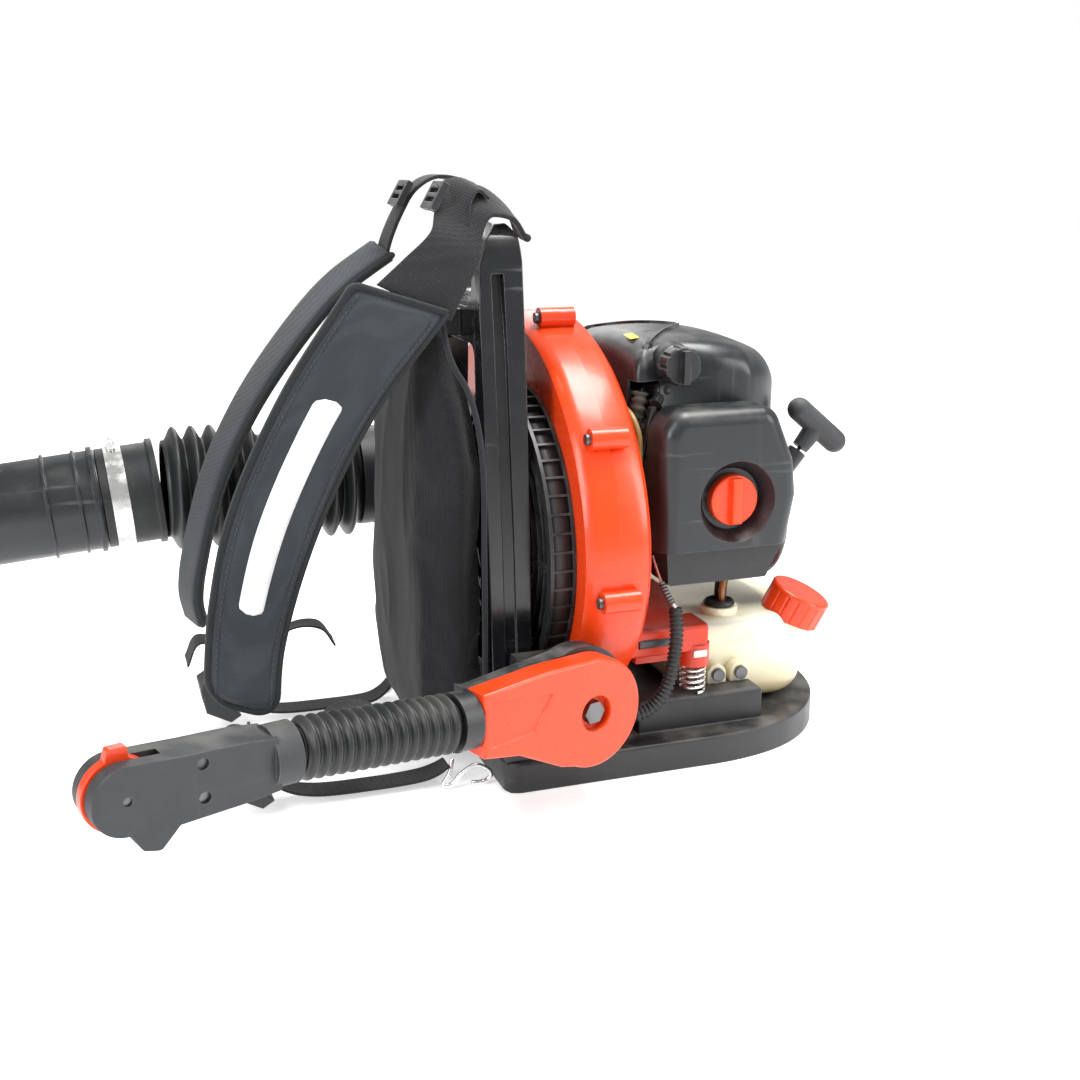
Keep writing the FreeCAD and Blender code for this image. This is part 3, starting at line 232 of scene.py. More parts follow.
def settle(obj):
    """Applies every modifier."""
    bpy.context.view_layer.update()
    graph = bpy.context.evaluated_depsgraph_get()
    mesh = bpy.data.meshes.new_from_object(obj.evaluated_get(graph))
    obj.modifiers.clear()
    obj.data = mesh


def mirrored(obj, name):
    """The same piece on the operator's other side."""
    mesh = obj.data.copy()
    mesh.transform(Matrix.Scale(-1, 4, (1, 0, 0)))
    mesh.flip_normals()
    other = bpy.data.objects.new(name, mesh)
    scene.collection.objects.link(other)
    return other


# Materials

class Shader:
    """A material's node tree, with short calls for the nodes that the materials share."""

    def __init__(self, name, color, roughness, **sockets):
        self.material = bpy.data.materials.new(name)
        self.material.use_nodes = True
        self.tree = self.material.node_tree
        self.tree.nodes.clear()
        self.bsdf = self.add("ShaderNodeBsdfPrincipled")
        output = self.add("ShaderNodeOutputMaterial")
        self.join(self.bsdf.outputs[0], output.inputs[0])
        self.color, self.roughness = color, roughness
        self.bsdf.inputs["Base Color"].default_value = (*color, 1)
        self.bsdf.inputs["Roughness"].default_value = roughness
        for socket, value in sockets.items():
            self.bsdf.inputs[socket.replace("_", " ")].default_value = value
        self.place = self.add("ShaderNodeTexCoord")
        self.heights = []

    def add(self, kind, **values):
        node = self.tree.nodes.new(kind)
        for key, value in values.items():
            setattr(node, key, value)
        return node

    def join(self, a, b):
        self.tree.links.new(a, b)

    def noise(self, scale, detail=4.0, stretch=(1, 1, 1)):
        mapping = self.add("ShaderNodeMapping")
        mapping.inputs["Scale"].default_value = stretch
        self.join(self.place.outputs["Object"], mapping.inputs[0])
        node = self.add("ShaderNodeTexNoise")
        node.inputs["Scale"].default_value = scale
        node.inputs["Detail"].default_value = detail
        self.join(mapping.outputs[0], node.inputs["Vector"])
        return node.outputs[0]

    def bands(self, scale, direction, turn=0.0):
        mapping = self.add("ShaderNodeMapping")
        mapping.inputs["Rotation"].default_value = (turn, 0, 0)
        self.join(self.place.outputs["Object"], mapping.inputs[0])
        node = self.add("ShaderNodeTexWave", bands_direction=direction)
        node.inputs["Scale"].default_value = scale
        node.inputs["Distortion"].default_value = 0.6
        self.join(mapping.outputs[0], node.inputs["Vector"])
        return node.outputs[1]

    def ramp(self, socket, low, high, to_low=0.0, to_high=1.0):
        node = self.add("ShaderNodeMapRange", interpolation_type="SMOOTHSTEP")
        self.join(socket, node.inputs["Value"])
        for key, value in (("From Min", low), ("From Max", high), ("To Min", to_low),
                           ("To Max", to_high)):
            node.inputs[key].default_value = value
        return node.outputs[0]

    def times(self, a, b):
        node = self.add("ShaderNodeMath", operation="MULTIPLY")
        for socket, value in zip(node.inputs, (a, b)):
            if isinstance(value, (int, float)):
                socket.default_value = value
            else:
                self.join(value, socket)
        return node.outputs[0]

    def paint(self, factor, color):
        """Lays a colour over what the base colour is so far."""
        node = self.add("ShaderNodeMix", data_type="RGBA")
        self.join(factor, node.inputs[0])
        base = self.bsdf.inputs["Base Color"]
        if base.links:
            self.join(base.links[0].from_socket, node.inputs[6])
        else:
            node.inputs[6].default_value = base.default_value[:]
        node.inputs[7].default_value = (*color, 1)
        self.join(node.outputs[2], base)

    def roughen(self, factor, value):
        node = self.add("ShaderNodeMix", data_type="FLOAT")
        self.join(factor, node.inputs[0])
        rough = self.bsdf.inputs["Roughness"]
        if rough.links:
            self.join(rough.links[0].from_socket, node.inputs[2])
        else:
            node.inputs[2].default_value = rough.default_value
        node.inputs[3].default_value = value
        self.join(node.outputs[0], rough)

    def bump(self, height, strength, distance):
        node = self.add("ShaderNodeBump")
        node.inputs["Strength"].default_value = strength
        node.inputs["Distance"].default_value = distance
        self.join(height, node.inputs["Height"])
        normal = self.bsdf.inputs["Normal"]
        if normal.links:
            self.join(normal.links[0].from_socket, node.inputs["Normal"])
        self.join(node.outputs[0], normal)

    def upward(self):
        """How far the surface faces up."""
        parts = self.add("ShaderNodeSeparateXYZ")
        self.join(self.place.outputs["Normal"], parts.inputs[0])
        return parts.outputs[2]

    def height(self):
        parts = self.add("ShaderNodeSeparateXYZ")
        self.join(self.place.outputs["Object"], parts.inputs[0])
        return parts.outputs[2]

    def edges(self, radius):
        """Bright where the surface turns sharply within the radius."""
        bevel = self.add("ShaderNodeBevel", samples=4)
        bevel.inputs["Radius"].default_value = radius
        geometry = self.add("ShaderNodeNewGeometry")
        dot = self.add("ShaderNodeVectorMath", operation="DOT_PRODUCT")
        self.join(bevel.outputs[0], dot.inputs[0])
        self.join(geometry.outputs["Normal"], dot.inputs[1])
        return self.ramp(dot.outputs["Value"], 0.985, 0.85)


DUST = (0.30, 0.29, 0.26)


def plastic(name, color, roughness, grain=0.12, dust=0.0, scuff=0.0, wear=0.0, **sockets):
    """Moulded plastic or rubber: clouded colour, fine grain, scratches, dust and worn edges."""
    s = Shader(name, color, roughness, **sockets)
    s.paint(s.ramp(s.noise(22), 0.35, 0.75, 0, 0.35), tuple(c * 0.72 for c in color))
    if scuff:
        lines = s.ramp(s.noise(60, 6, (1, 0.12, 2.4)), 0.60, 0.72)
        cross = s.ramp(s.noise(45, 6, (2.0, 1.6, 0.1)), 0.62, 0.74)
        patch = s.ramp(s.noise(14), 0.42, 0.62)
        for mark in (lines, cross):
            factor = s.times(s.times(mark, patch), scuff)
            s.paint(factor, tuple(0.5 * c + 0.10 for c in color))
            s.roughen(factor, min(roughness + 0.25, 1.0))
    if wear:
        rub = s.times(s.times(s.edges(0.0016), s.ramp(s.noise(70), 0.42, 0.62)), wear)
        s.paint(rub, tuple(0.55 * c + 0.16 for c in color))
        s.roughen(rub, 0.6)
    if dust:
        settled = s.times(s.times(s.ramp(s.upward(), 0.15, 0.95),
                                  s.ramp(s.noise(30, 8), 0.38, 0.70)), dust)
        s.paint(settled, DUST)
        s.roughen(settled, 0.85)
    s.roughen(s.ramp(s.noise(55, 6), 0.4, 0.7, 0, 0.4), min(roughness + 0.18, 1.0))
    s.bump(s.noise(1100, 2), grain, 0.0004)
    s.bump(s.noise(9, 2), 0.06, 0.004)
    return s.material


def cloth(name, color, weave, turn=0.0, sheen=0.25, fuzz=0.1, worn=0.3):
    """Woven cloth: two sets of threads with painted shade in the grooves between them, faded patches and lint."""
    s = Shader(name, color, 0.86, Sheen_Weight=sheen, Sheen_Roughness=0.5,
               Specular_IOR_Level=0.25)
    s.paint(s.ramp(s.noise(16, 5), 0.35, 0.75, 0, worn), tuple(c * 1.9 + 0.006 for c in color))
    s.paint(s.ramp(s.noise(420, 3), 0.60, 0.78, 0, fuzz), (0.20, 0.20, 0.20))
    for direction in ("Y", "Z", "X"):
        threads = s.bands(weave, direction, turn)
        # painted shade: darker where the thread bands dip, in the grooves between the threads
        s.paint(s.times(s.ramp(threads, 0.1, 0.9, 1, 0), 0.35), tuple(c * 0.5 for c in color))
        s.bump(threads, 0.22, 0.0006)
    s.bump(s.noise(120, 4), 0.25, 0.0012)
    return s.material


def metal(name, color, roughness, grain=0.1, stretch=(1, 1, 1), tarnish=0.3):
    s = Shader(name, color, roughness, Metallic=1.0)
    s.paint(s.ramp(s.noise(40, 6), 0.45, 0.75, 0, tarnish), tuple(c * 0.35 for c in color))
    s.roughen(s.ramp(s.noise(90, 6, stretch), 0.4, 0.7), min(roughness + 0.25, 1.0))
    s.bump(s.noise(600, 3, stretch), grain, 0.0005)
    return s.material


def tank_material():
    """Milky blow-moulded plastic, darker and browner towards the bottom."""
    s = Shader("tank_milky", (0.86, 0.80, 0.60), 0.34, Subsurface_Weight=0.55,
               Subsurface_Radius=(0.02, 0.016, 0.008), Subsurface_Scale=0.6, Coat_Weight=0.15)
    s.paint(s.ramp(s.noise(11, 3), 0.35, 0.7, 0, 0.45), (0.82, 0.77, 0.50))
    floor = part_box("fuel_tank")[0]
    # darker and browner towards the bottom of the tank
    s.paint(s.ramp(s.height(), floor.z + 0.045, floor.z + 0.004, 0, 0.75),
            (0.42, 0.30, 0.14))
    s.paint(s.ramp(s.noise(60, 8), 0.60, 0.75, 0, 0.3), (0.45, 0.38, 0.24))
    s.bump(s.noise(28, 3), 0.25, 0.003)
    s.bump(s.noise(700, 2), 0.08, 0.0004)
    return s.material


def reflective_material():
    """Silver-white beaded tape."""
    s = Shader("reflective_tape", (0.78, 0.79, 0.80), 0.45, Metallic=0.15)
    s.paint(s.ramp(s.noise(24, 6), 0.45, 0.72, 0, 0.35), (0.50, 0.50, 0.49))
    cells = s.add("ShaderNodeTexVoronoi")
    cells.inputs["Scale"].default_value = 900
    s.join(s.place.outputs["Object"], cells.inputs["Vector"])
    s.bump(cells.outputs[0], 0.2, 0.0004)
    return s.material


ORANGE = (0.76, 0.050, 0.005)
BLACK = (0.007, 0.0075, 0.009)
MATERIALS = {
    "orange_plastic": plastic("orange_gloss", ORANGE, 0.27, 0.05, 0.05, 0.12, 0.15,
                              Coat_Weight=0.15, Coat_Roughness=0.12, Specular_IOR_Level=0.4),
    "orange_metal": plastic("orange_paint", (0.62, 0.036, 0.006), 0.36, 0.2, 0.35, 0.3, 0.4),
    "black_plastic": plastic("black_satin", (0.013, 0.014, 0.016), 0.40, 0.18, 0.30, 0.35, 0.5),
    "frame_plastic": plastic("black_gloss", BLACK, 0.20, 0.08, 0.18, 0.5, 0.4,
                             Coat_Weight=0.3, Coat_Roughness=0.1),
    "cover_plastic": plastic("black_cover", (0.012, 0.0135, 0.016), 0.31, 0.12, 0.22, 0.5, 0.6),
    "grip_plastic": plastic("black_grip", (0.030, 0.032, 0.035), 0.56, 0.5, 0.25, 0.2, 0.45),
    "fan_plastic": plastic("fan_black", (0.02, 0.02, 0.02), 0.5, 0.2),
    "tube_plastic": plastic("tube_black", (0.014, 0.0155, 0.018), 0.30, 0.1, 0.12, 0.4, 0.3),
    "black_rubber": plastic("rubber_black", (0.010, 0.011, 0.012), 0.42, 0.15, 0.16, 0.1, 0.2),
    "fuel_hose": plastic("hose_black", (0.018, 0.016, 0.014), 0.3, 0.05),
    "tan_hose": plastic("hose_tan", (0.40, 0.27, 0.10), 0.4, 0.1, 0.2),
    "cast_alloy": metal("alloy_cast", (0.50, 0.50, 0.50), 0.5, 0.5, tarnish=0.5),
    "dark_steel": metal("steel_dark", (0.16, 0.16, 0.165), 0.38, 0.2),
    "plated_steel": metal("steel_plated", (0.78, 0.78, 0.77), 0.22, 0.08, tarnish=0.25),
    "pad_fabric": cloth("pad_cloth", (0.012, 0.012, 0.014), 170, sheen=0.12, worn=0.25),
    "strap_fabric": cloth("strap_cloth", (0.034, 0.040, 0.046), 190, math.pi / 4, 0.15),
    "webbing": cloth("webbing_black", (0.018, 0.018, 0.020), 130, 0.5, 0.15, 0.2),
    "filter_felt": cloth("felt", (0.45, 0.43, 0.38), 90),
    "tank_plastic": tank_material(),
}
BINDING = cloth("binding_black", (0.020, 0.022, 0.025), 230, 0.2, 0.1, 0.05, 0.1)
THREAD = cloth("thread_grey", (0.055, 0.058, 0.064), 700, 0.3, 0.1)
AMBER = plastic("hose_amber", (0.34, 0.12, 0.03), 0.22, 0.05, Transmission_Weight=0.25)
LABEL = plastic("label_white", (0.75, 0.75, 0.74), 0.35, 0.05, 0.25, 0.3)
LABEL_DARK = plastic("label_dark", (0.05, 0.05, 0.055), 0.3, 0.05, 0.2, 0.6)
LABEL_YELLOW = plastic("label_yellow", (0.75, 0.66, 0.06), 0.35, 0.05, 0.1, 0.2)
TAPE = reflective_material()
GRIME = plastic("grime", (0.10, 0.105, 0.085), 0.85, 0.9, 0.6, 0.2)


def finish_piece(obj, node, material=None):
    """Gives a new piece its material, from the node's material slot unless one is given, and its body."""
    obj.data.materials.clear()
    obj.data.materials.append(material or MATERIALS[SLOT[node]])
    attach(obj, BODY[node])
    return obj


def stand_for(obj, node, material=None):
    """A new piece shown in a CAD node's place."""
    finish_piece(obj, node, material)
    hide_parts(node)
    return obj


# Rigid parts

def softened(node, width, segments=3, angle=28.0):
    """The CAD node's shape with its sharp edges rounded."""
    build = bmesh.new()
    build.from_mesh(NODES[node].data)
    bmesh.ops.remove_doubles(build, verts=build.verts, dist=2e-6)
    bmesh.ops.dissolve_limit(build, angle_limit=math.radians(0.6), verts=build.verts,
                             edges=build.edges)
    mesh = bpy.data.meshes.new(node + "_shape")
    build.to_mesh(mesh)
    build.free()
    mesh.polygons.foreach_set("use_smooth", [True] * len(mesh.polygons))
    obj = bpy.data.objects.new(node + "_shape", mesh)
    scene.collection.objects.link(obj)
    bevel = obj.modifiers.new("bevel", "BEVEL")
    bevel.width = width / 1000
    bevel.segments = segments
    bevel.limit_method = "ANGLE"
    bevel.angle_limit = math.radians(angle)
    bevel.miter_outer = "MITER_ARC"
    bevel.use_clamp_overlap = True
    settle(obj)
    obj.data.set_sharp_from_angle(angle=math.radians(38))
    normals = obj.modifiers.new("normals", "WEIGHTED_NORMAL")
    normals.keep_sharp = True
    settle(obj)
    return stand_for(obj, node)


EDGE_RADII = {
    "base_stand": 1.6, "back_frame": 3.0, "fan_case_front": 1.4, "fan_case_rear": 1.4,
    "outlet_elbow": 0.8, "hose_cuff": 0.8, "hose_clamp": 0.4, "swivel_pipe": 0.8,
    "straight_pipe": 0.8, "nozzle": 0.8, "starter_housing": 1.0, "starter_handle": 1.5,
    "cover_wing_knob": 0.8, "air_cleaner_case": 0.8, "air_cleaner_cover": 2.0,
    "air_cleaner_knob": 0.8, "engine_mount": 1.5, "front_isolator": 1.0, "fuel_cap": 1.0,
    "throttle_bracket": 2.0, "throttle_arm": 1.2, "hub_cover": 3.0, "grip_left": 1.4,
    "grip_right": 1.4, "throttle_lever": 0.8, "strap_buckles": 0.9, "machine_screws": 0.4,
    "muffler": 1.0, "carburetor": 0.8, "crankcase": 1.0, "cylinder": 0.6,
}


def dress_cad():
    for node, obj in NODES.items():
        obj.data.materials.clear()
        obj.data.materials.append(MATERIALS[SLOT[node]])
    for node, width in EDGE_RADII.items():
        softened(node, width)


# Engine cover

COVER_CROWN = ((30, 362), (47, 370), (70, 373), (100, 374), (133, 371), (161, 363), (180, 355),
               (200, 342), (212, 332))
COVER_TURN = 150.0
COVER_CORNER = 10.0
COVER_EDGE = 20.0
COVER_WALL = 2.6
COVER_WINDOWS = (((70, 52, 190), (112, 160, 300)), ((66, 26, 300), (112, 66, 336)),
                 ((40, 30, 190), (112, 54, 296)), ((-112, 100, 236), (-78, 140, 264)))
COVER_BORES = (((0, 168, 190), (0, 240, 190), 74), ((0, 30, 190), (0, 48, 190), 49))
KNOB_DENT = 9
KNOB_DENT_REACH = 46


def cover_plan(count=120):
    """Places and outward directions round the engine cover, evenly spaced."""
    low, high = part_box("engine_cover")
    half, front, rear = high.x * 1000, low.y * 1000, high.y * 1000
    corner = COVER_CORNER
    outline = []
    for start, cx in ((math.pi, -half + corner), (1.5 * math.pi, half - corner)):
        for k in range(7):
            t = start + math.pi / 2 * k / 6
            outline.append((cx + corner * math.cos(t), front + corner + corner * math.sin(t)))
    sag = rear - COVER_TURN
    radius = (half ** 2 + sag ** 2) / (2 * sag)
    reach = math.asin(half / radius)
    for k in range(33):
        t = reach - 2 * reach * k / 32
        outline.append((radius * math.sin(t), rear - radius + radius * math.cos(t)))
    outline.append(outline[0])
    points = np.array(outline)
    run = np.r_[0, np.cumsum(np.linalg.norm(np.diff(points, axis=0), axis=1))]
    at = np.linspace(0, run[-1], count, endpoint=False)
    places = np.column_stack([np.interp(at, run, points[:, k]) for k in (0, 1)])
    ahead = np.roll(places, -2, axis=0) - np.roll(places, 2, axis=0)
    outs = np.column_stack([ahead[:, 1], -ahead[:, 0]])
    return places, outs / np.linalg.norm(outs, axis=1)[:, None]


def cover_height(x, y):
    return curve_value(COVER_CROWN, y) - 10 * (x / 85) ** 2


def engine_cover():
    places, outs = cover_plan()
    bottom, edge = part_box("engine_cover")[0].z * 1000, COVER_EDGE
    rings = []
    for k in range(14):
        ring = []
        for x, y in places:
            top = cover_height(x, y) - edge
            ring.append(Vector((x, y, bottom + (top - bottom) * k / 14)))
        rings.append(ring)
    for k in range(9):
        t = math.pi / 2 * k / 8
        ring = []
        for (x, y), out in zip(places, outs):
            inset = edge * (1 - math.cos(t))
            x, y = x - out[0] * inset, y - out[1] * inset
            ring.append(Vector((x, y, cover_height(x, y) - edge + edge * math.sin(t))))
        rings.append(ring)
    last, middle = rings[-1], 122.0
    for k in range(1, 15):
        scale = 1 - k / 14.5
        rings.append([Vector((p.x * scale, middle + (p.y - middle) * scale,
                              cover_height(p.x * scale, middle + (p.y - middle) * scale)))
                      for p in last])
    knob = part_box("cover_wing_knob")
    centre = (knob[0] + knob[1]) * 500
    for ring in rings:
        for p in ring:
            near = math.hypot(p.y - centre.y, p.z - centre.z + 6)
            if p.x > 30 and near < KNOB_DENT_REACH:
                p.x -= KNOB_DENT * math.cos(near / KNOB_DENT_REACH * math.pi / 2) ** 2
    obj = loft("engine_cover_shell", [[p / 1000 for p in ring] for ring in rings], cap=False)
    build = bmesh.new()
    build.from_mesh(obj.data)
    hole = [e for e in build.edges if e.is_boundary and e.verts[0].co.z > 0.3]
    bmesh.ops.holes_fill(build, edges=hole, sides=0)
    bmesh.ops.recalc_face_normals(build, faces=build.faces)
    build.to_mesh(obj.data)
    build.free()
    thick = obj.modifiers.new("thick", "SOLIDIFY")
    thick.thickness = COVER_WALL / 1000
    thick.offset = -1
    cutters = [cutter_box(low, high) for low, high in COVER_WINDOWS]
    cutters += [cutter_rod(start, end, radius) for start, end, radius in COVER_BORES]
    for index, cutter in enumerate(cutters):
        boolean = obj.modifiers.new(f"cut{index}", "BOOLEAN")
        boolean.object = cutter
        boolean.solver = "EXACT"
    settle(obj)
    for cutter in cutters:
        bpy.data.objects.remove(cutter)
    obj.data.polygons.foreach_set("use_smooth", [True] * len(obj.data.polygons))
    obj.data.set_sharp_from_angle(angle=math.radians(40))
    stand_for(obj, "engine_cover")
    boss = turned("knob_boss", [(0, 0.5), (0, 19), (9, 15), (10, 13), (10, 0.5)],
                  Vector((76, centre.y, centre.z)), Vector((1, 0, 0)), 48)
    finish_piece(boss, "engine_cover")


def cutter_box(low, high):
    (x0, y0, z0), (x1, y1, z1) = low, high
    ring = lambda z: [mm(x0, y0, z), mm(x1, y0, z), mm(x1, y1, z), mm(x0, y1, z)]
    return loft("cutter", [ring(z0), ring(z1)])


def cutter_rod(start, end, radius):
    start, end = Vector(start), Vector(end)
    return turned("cutter", [(0, 0.01), (0, radius), ((end - start).length, radius),
                             ((end - start).length, 0.01)], start, end - start, 64)


# Back pad

# Each pair below is a height and the pad's front, rear or half width there.
PAD_FRONT = ((10, -116), (20, -134), (40, -147), (80, -153), (150, -155), (262, -152), (340, -149),
             (366, -145), (385, -141), (402, -136))
PAD_REAR = ((10, -99.5), (199, -99.8), (300, -101), (340, -109), (362, -120), (402, -125))
PAD_HALF = ((10, 64), (16, 84), (26, 97), (44, 108), (80, 111), (300, 110), (350, 100), (380, 90),
            (394, 80), (402, 62))
PAD_LEVELS = 40
PAD_SHRINK = 5.0
PAD_VOXEL = 0.006
PAD_PRESSURE = 4.0
PAD_SWELL = 0.008
PAD_SQUARENESS = 3.2


def pad_rear(z):
    """Where the pad meets the frame, in front of it."""
    return curve_value(PAD_REAR, z)


def pad_ring(z, shrink, sides=64):
    rear = pad_rear(z)
    front = curve_value(PAD_FRONT, z) + shrink
    half = curve_value(PAD_HALF, z) - shrink
    middle, depth = (rear + front) / 2, (rear - front) / 2
    ring = []
    for k in range(sides):
        a, b = rounded(2 * math.pi * k / sides, PAD_SQUARENESS)
        ring.append(mm(half * a, middle + depth * b, z))
    return ring


def puffed(obj, voxel, pressure, cap):
    """Swells a closed shape like a stuffed cover, moving no point further than the cap."""
    remesh = obj.modifiers.new("remesh", "REMESH")
    remesh.mode = "VOXEL"
    remesh.voxel_size = voxel
    settle(obj)
    start = np.array([v.co[:] for v in obj.data.vertices])
    modifier = obj.modifiers.new("cloth", "CLOTH")
    settings = modifier.settings
    settings.quality = 4
    settings.use_pressure = True
    settings.uniform_pressure_force = pressure
    settings.shrink_min = -0.05
    settings.effector_weights.gravity = 0
    modifier.point_cache.frame_end = 20
    for number in range(1, 21):
        scene.frame_set(number)
    graph = bpy.context.evaluated_depsgraph_get()
    end = np.array([v.co[:] for v in obj.evaluated_get(graph).data.vertices])
    obj.modifiers.clear()
    scene.frame_set(1)
    move = end - start
    length = np.linalg.norm(move, axis=1)[:, None]
    end = start + move * np.minimum(1, cap / np.maximum(length, 1e-9))
    obj.data.vertices.foreach_set("co", end.ravel())
    obj.data.update()


def back_pad():
    foot, top = PAD_FRONT[0][0], PAD_FRONT[-1][0]
    levels = [foot + (top - foot) * (0.5 - 0.5 * math.cos(math.pi * k / PAD_LEVELS))
              for k in range(PAD_LEVELS + 1)]
    obj = loft("back_pad_cushion", [pad_ring(z, PAD_SHRINK) for z in levels])
    puffed(obj, PAD_VOXEL, PAD_PRESSURE, PAD_SWELL)
    smooth = obj.modifiers.new("smooth", "SUBSURF")
    smooth.levels = 1
    settle(obj)
    for v, normal in zip(obj.data.vertices, [n.vector.copy() for n in obj.data.vertex_normals]):
        p = v.co * 1000
        fold = 1 - abs(noise.noise(Vector((p.x * 0.016, p.y * 0.016, p.z * 0.0060))) * 2)
        crease = noise.noise(Vector((p.x * 0.035, p.y * 0.035, p.z * 0.012)) + Vector((9, 3, 5)))
        out = normal * (2.6 * fold ** 3 + 1.0 * crease - 1.0) * (1 - abs(normal.z)) / 1000
        v.co += out
        v.co.y = min(v.co.y, pad_rear(v.co.z * 1000) / 1000)
    obj.data.polygons.foreach_set("use_smooth", [True] * len(obj.data.polygons))
    stand_for(obj, "back_pad")
    route = [(curve_value(PAD_HALF, z) - 1, pad_rear(z) - 4, z) for z in range(20, 396, 12)]
    full = [(-x, y, z) for x, y, z in route[::-1]]
    arch = [(x, pad_rear(399) - 4, 399) for x in (54, 0, -54)]
    piping = tube("back_pad_piping", route + arch + full, 2.4, 260, 10)
    finish_piece(piping, "back_pad", BINDING)


# Harness

STRAP_FRONT = ((-203, 429), (-262, 345), (-306, 258), (-327, 178), (-336, 98))
STRAP_REAR = ((-123, 403), (-190, 320), (-240, 225), (-268, 140), (-276, 74))
STRAP_STEPS = 120
STRAP_LENGTH = 380


class Strap:
    """One padded shoulder strap, as a surface over run t, across s and side."""

    def __init__(self):
        self.front = smooth_rows([(0, y, z) for y, z in STRAP_FRONT], STRAP_STEPS + 1)
        self.rear = smooth_rows([(0, y, z) for y, z in STRAP_REAR], STRAP_STEPS + 1)
        low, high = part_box("shoulder_strap_left")
        self.middle = (low.x + high.x) * 500
        self.half = (high.x - low.x) * 500

    def edge(self, rows, t):
        k = min(max(t, 0), 1) * STRAP_STEPS
        i = min(int(k), STRAP_STEPS - 1)
        return Vector(rows[i].tolist()).lerp(Vector(rows[i + 1].tolist()), k - i)

    def limit(self, t):
        """How far across the strap reaches at t, with its lower corners rounded off."""
        for radius, gap in ((24, (1 - t) * STRAP_LENGTH), (8, t * STRAP_LENGTH)):
            if gap < radius:
                inset = radius - math.sqrt(radius ** 2 - (radius - gap) ** 2)
                return 1 - inset / self.half_width(t)
        return 1.0

    def half_width(self, t):
        return (self.edge(self.rear, t) - self.edge(self.front, t)).length / 2

    def centre(self, s, t):
        place = self.edge(self.front, t).lerp(self.edge(self.rear, t), (s + 1) / 2)
        bow = 3.0 * math.sin(math.pi * t) + 1.6 * noise.noise(Vector((place.y, place.z, 7)) * 0.012)
        place.x = self.middle + bow
        return place

    def depth(self, s, t):
        body = (1 - abs(s) ** 5) ** 0.5
        puff = 1 + 0.16 * noise.noise(Vector((s * 1.5, t * 9, 2)))
        crease = 0.14 * max(0, math.sin(t * 46 + 2 * s)) ** 4 * max(0, t - 0.45)
        return self.half * (0.55 + 0.45 * body) * (puff - crease)

    def face(self, s, t, lift=0.0):
        place = self.centre(s, t)
        place.x += self.depth(s, t) + lift
        return place


def shoulder_straps():
    strap = Strap()
    rings = []
    for i in range(101):
        t = 0.012 + 0.976 * i / 100
        end = min(i, 100 - i)
        close = math.sqrt(1 - (1 - min(end / 4, 1)) ** 2) * 0.85 + 0.15
        ring = []
        for k in range(48):
            s, side = rounded(2 * math.pi * k / 48, 3.4)
            s *= strap.limit(t) - 3.0 / strap.half_width(t)
            place = strap.centre(s, t)
            place.x += strap.depth(s, t) * side * close
            ring.append(place / 1000)
        rings.append(ring)
    pieces = [(loft("shoulder_strap_pad", rings), None, True)]
    steps = [0.5 - 0.5 * math.cos(math.pi * k / 80) for k in range(81)]
    rim = [strap.centre(-strap.limit(t), t) for t in steps]
    rim += [strap.centre(strap.limit(t), t) for t in steps[::-1]]
    rows = smooth_rows([p[:] for p in rim + rim[:1]], 300)[:-1]
    rings = []
    for i, row in enumerate(rows):
        ahead = Vector(rows[(i + 1) % len(rows)]) - Vector(rows[i - 1])
        inward = Vector((1, 0, 0)).cross(ahead).normalized()
        centre = Vector(row)
        pull = inward if (strap.centre(0, 0.5) - centre).dot(inward) > 0 else -inward
        centre += pull * 2.4
        ring = []
        for k in range(16):
            a, b = rounded(2 * math.pi * k / 16, 2.6)
            ring.append((centre + inward * a * 2.7 + Vector((1, 0, 0)) * b * 5.0) / 1000)
        rings.append(ring)
    pieces.append((loft("shoulder_strap_binding", rings, loop=True), BINDING, False))
    for name, s in (("front", -1), ("rear", 1)):
        places, outs = [], []
        for k in range(97):
            t = 0.03 + 0.94 * k / 96
            across = s * (1 - 9.0 / strap.half_width(t))
            places.append(strap.face(across, t, 0.1))
            outs.append(Vector((1, 0, 0)))
        pieces.append((stitch_row(f"shoulder_strap_stitches_{name}", places, outs), THREAD, False))
    rings = []
    for i in range(61):
        t = 0.27 + 0.50 * i / 60
        gap = min(i, 60 - i) * 3.2
        corner = 7 - math.sqrt(49 - (7 - min(gap, 7)) ** 2)
        width = 0.30 - corner / strap.half_width(t)
        ring = []
        for s, lift in ((-1, -0.6), (-1, 0.5), (-0.5, 0.6), (0, 0.6), (0.5, 0.6), (1, 0.5),
                        (1, -0.6), (0, -0.8)):
            ring.append(strap.face(s * width - 0.04, t, lift) / 1000)
        rings.append(ring)
    pieces.append((loft("shoulder_strap_tape", rings), TAPE, False))
    for obj, material, main in pieces:
        if main:
            stand_for(obj, "shoulder_strap_left", material)
        else:
            finish_piece(obj, "shoulder_strap_left", material)


RIGHT_RUN = ((-138, 441), (-174, 417), (-200, 393), (-229, 359), (-255, 324), (-276, 290),
             (-293, 256), (-307, 218), (-321, 164), (-325, 132), (-318, 99))
RIGHT_LEAN = 4.5


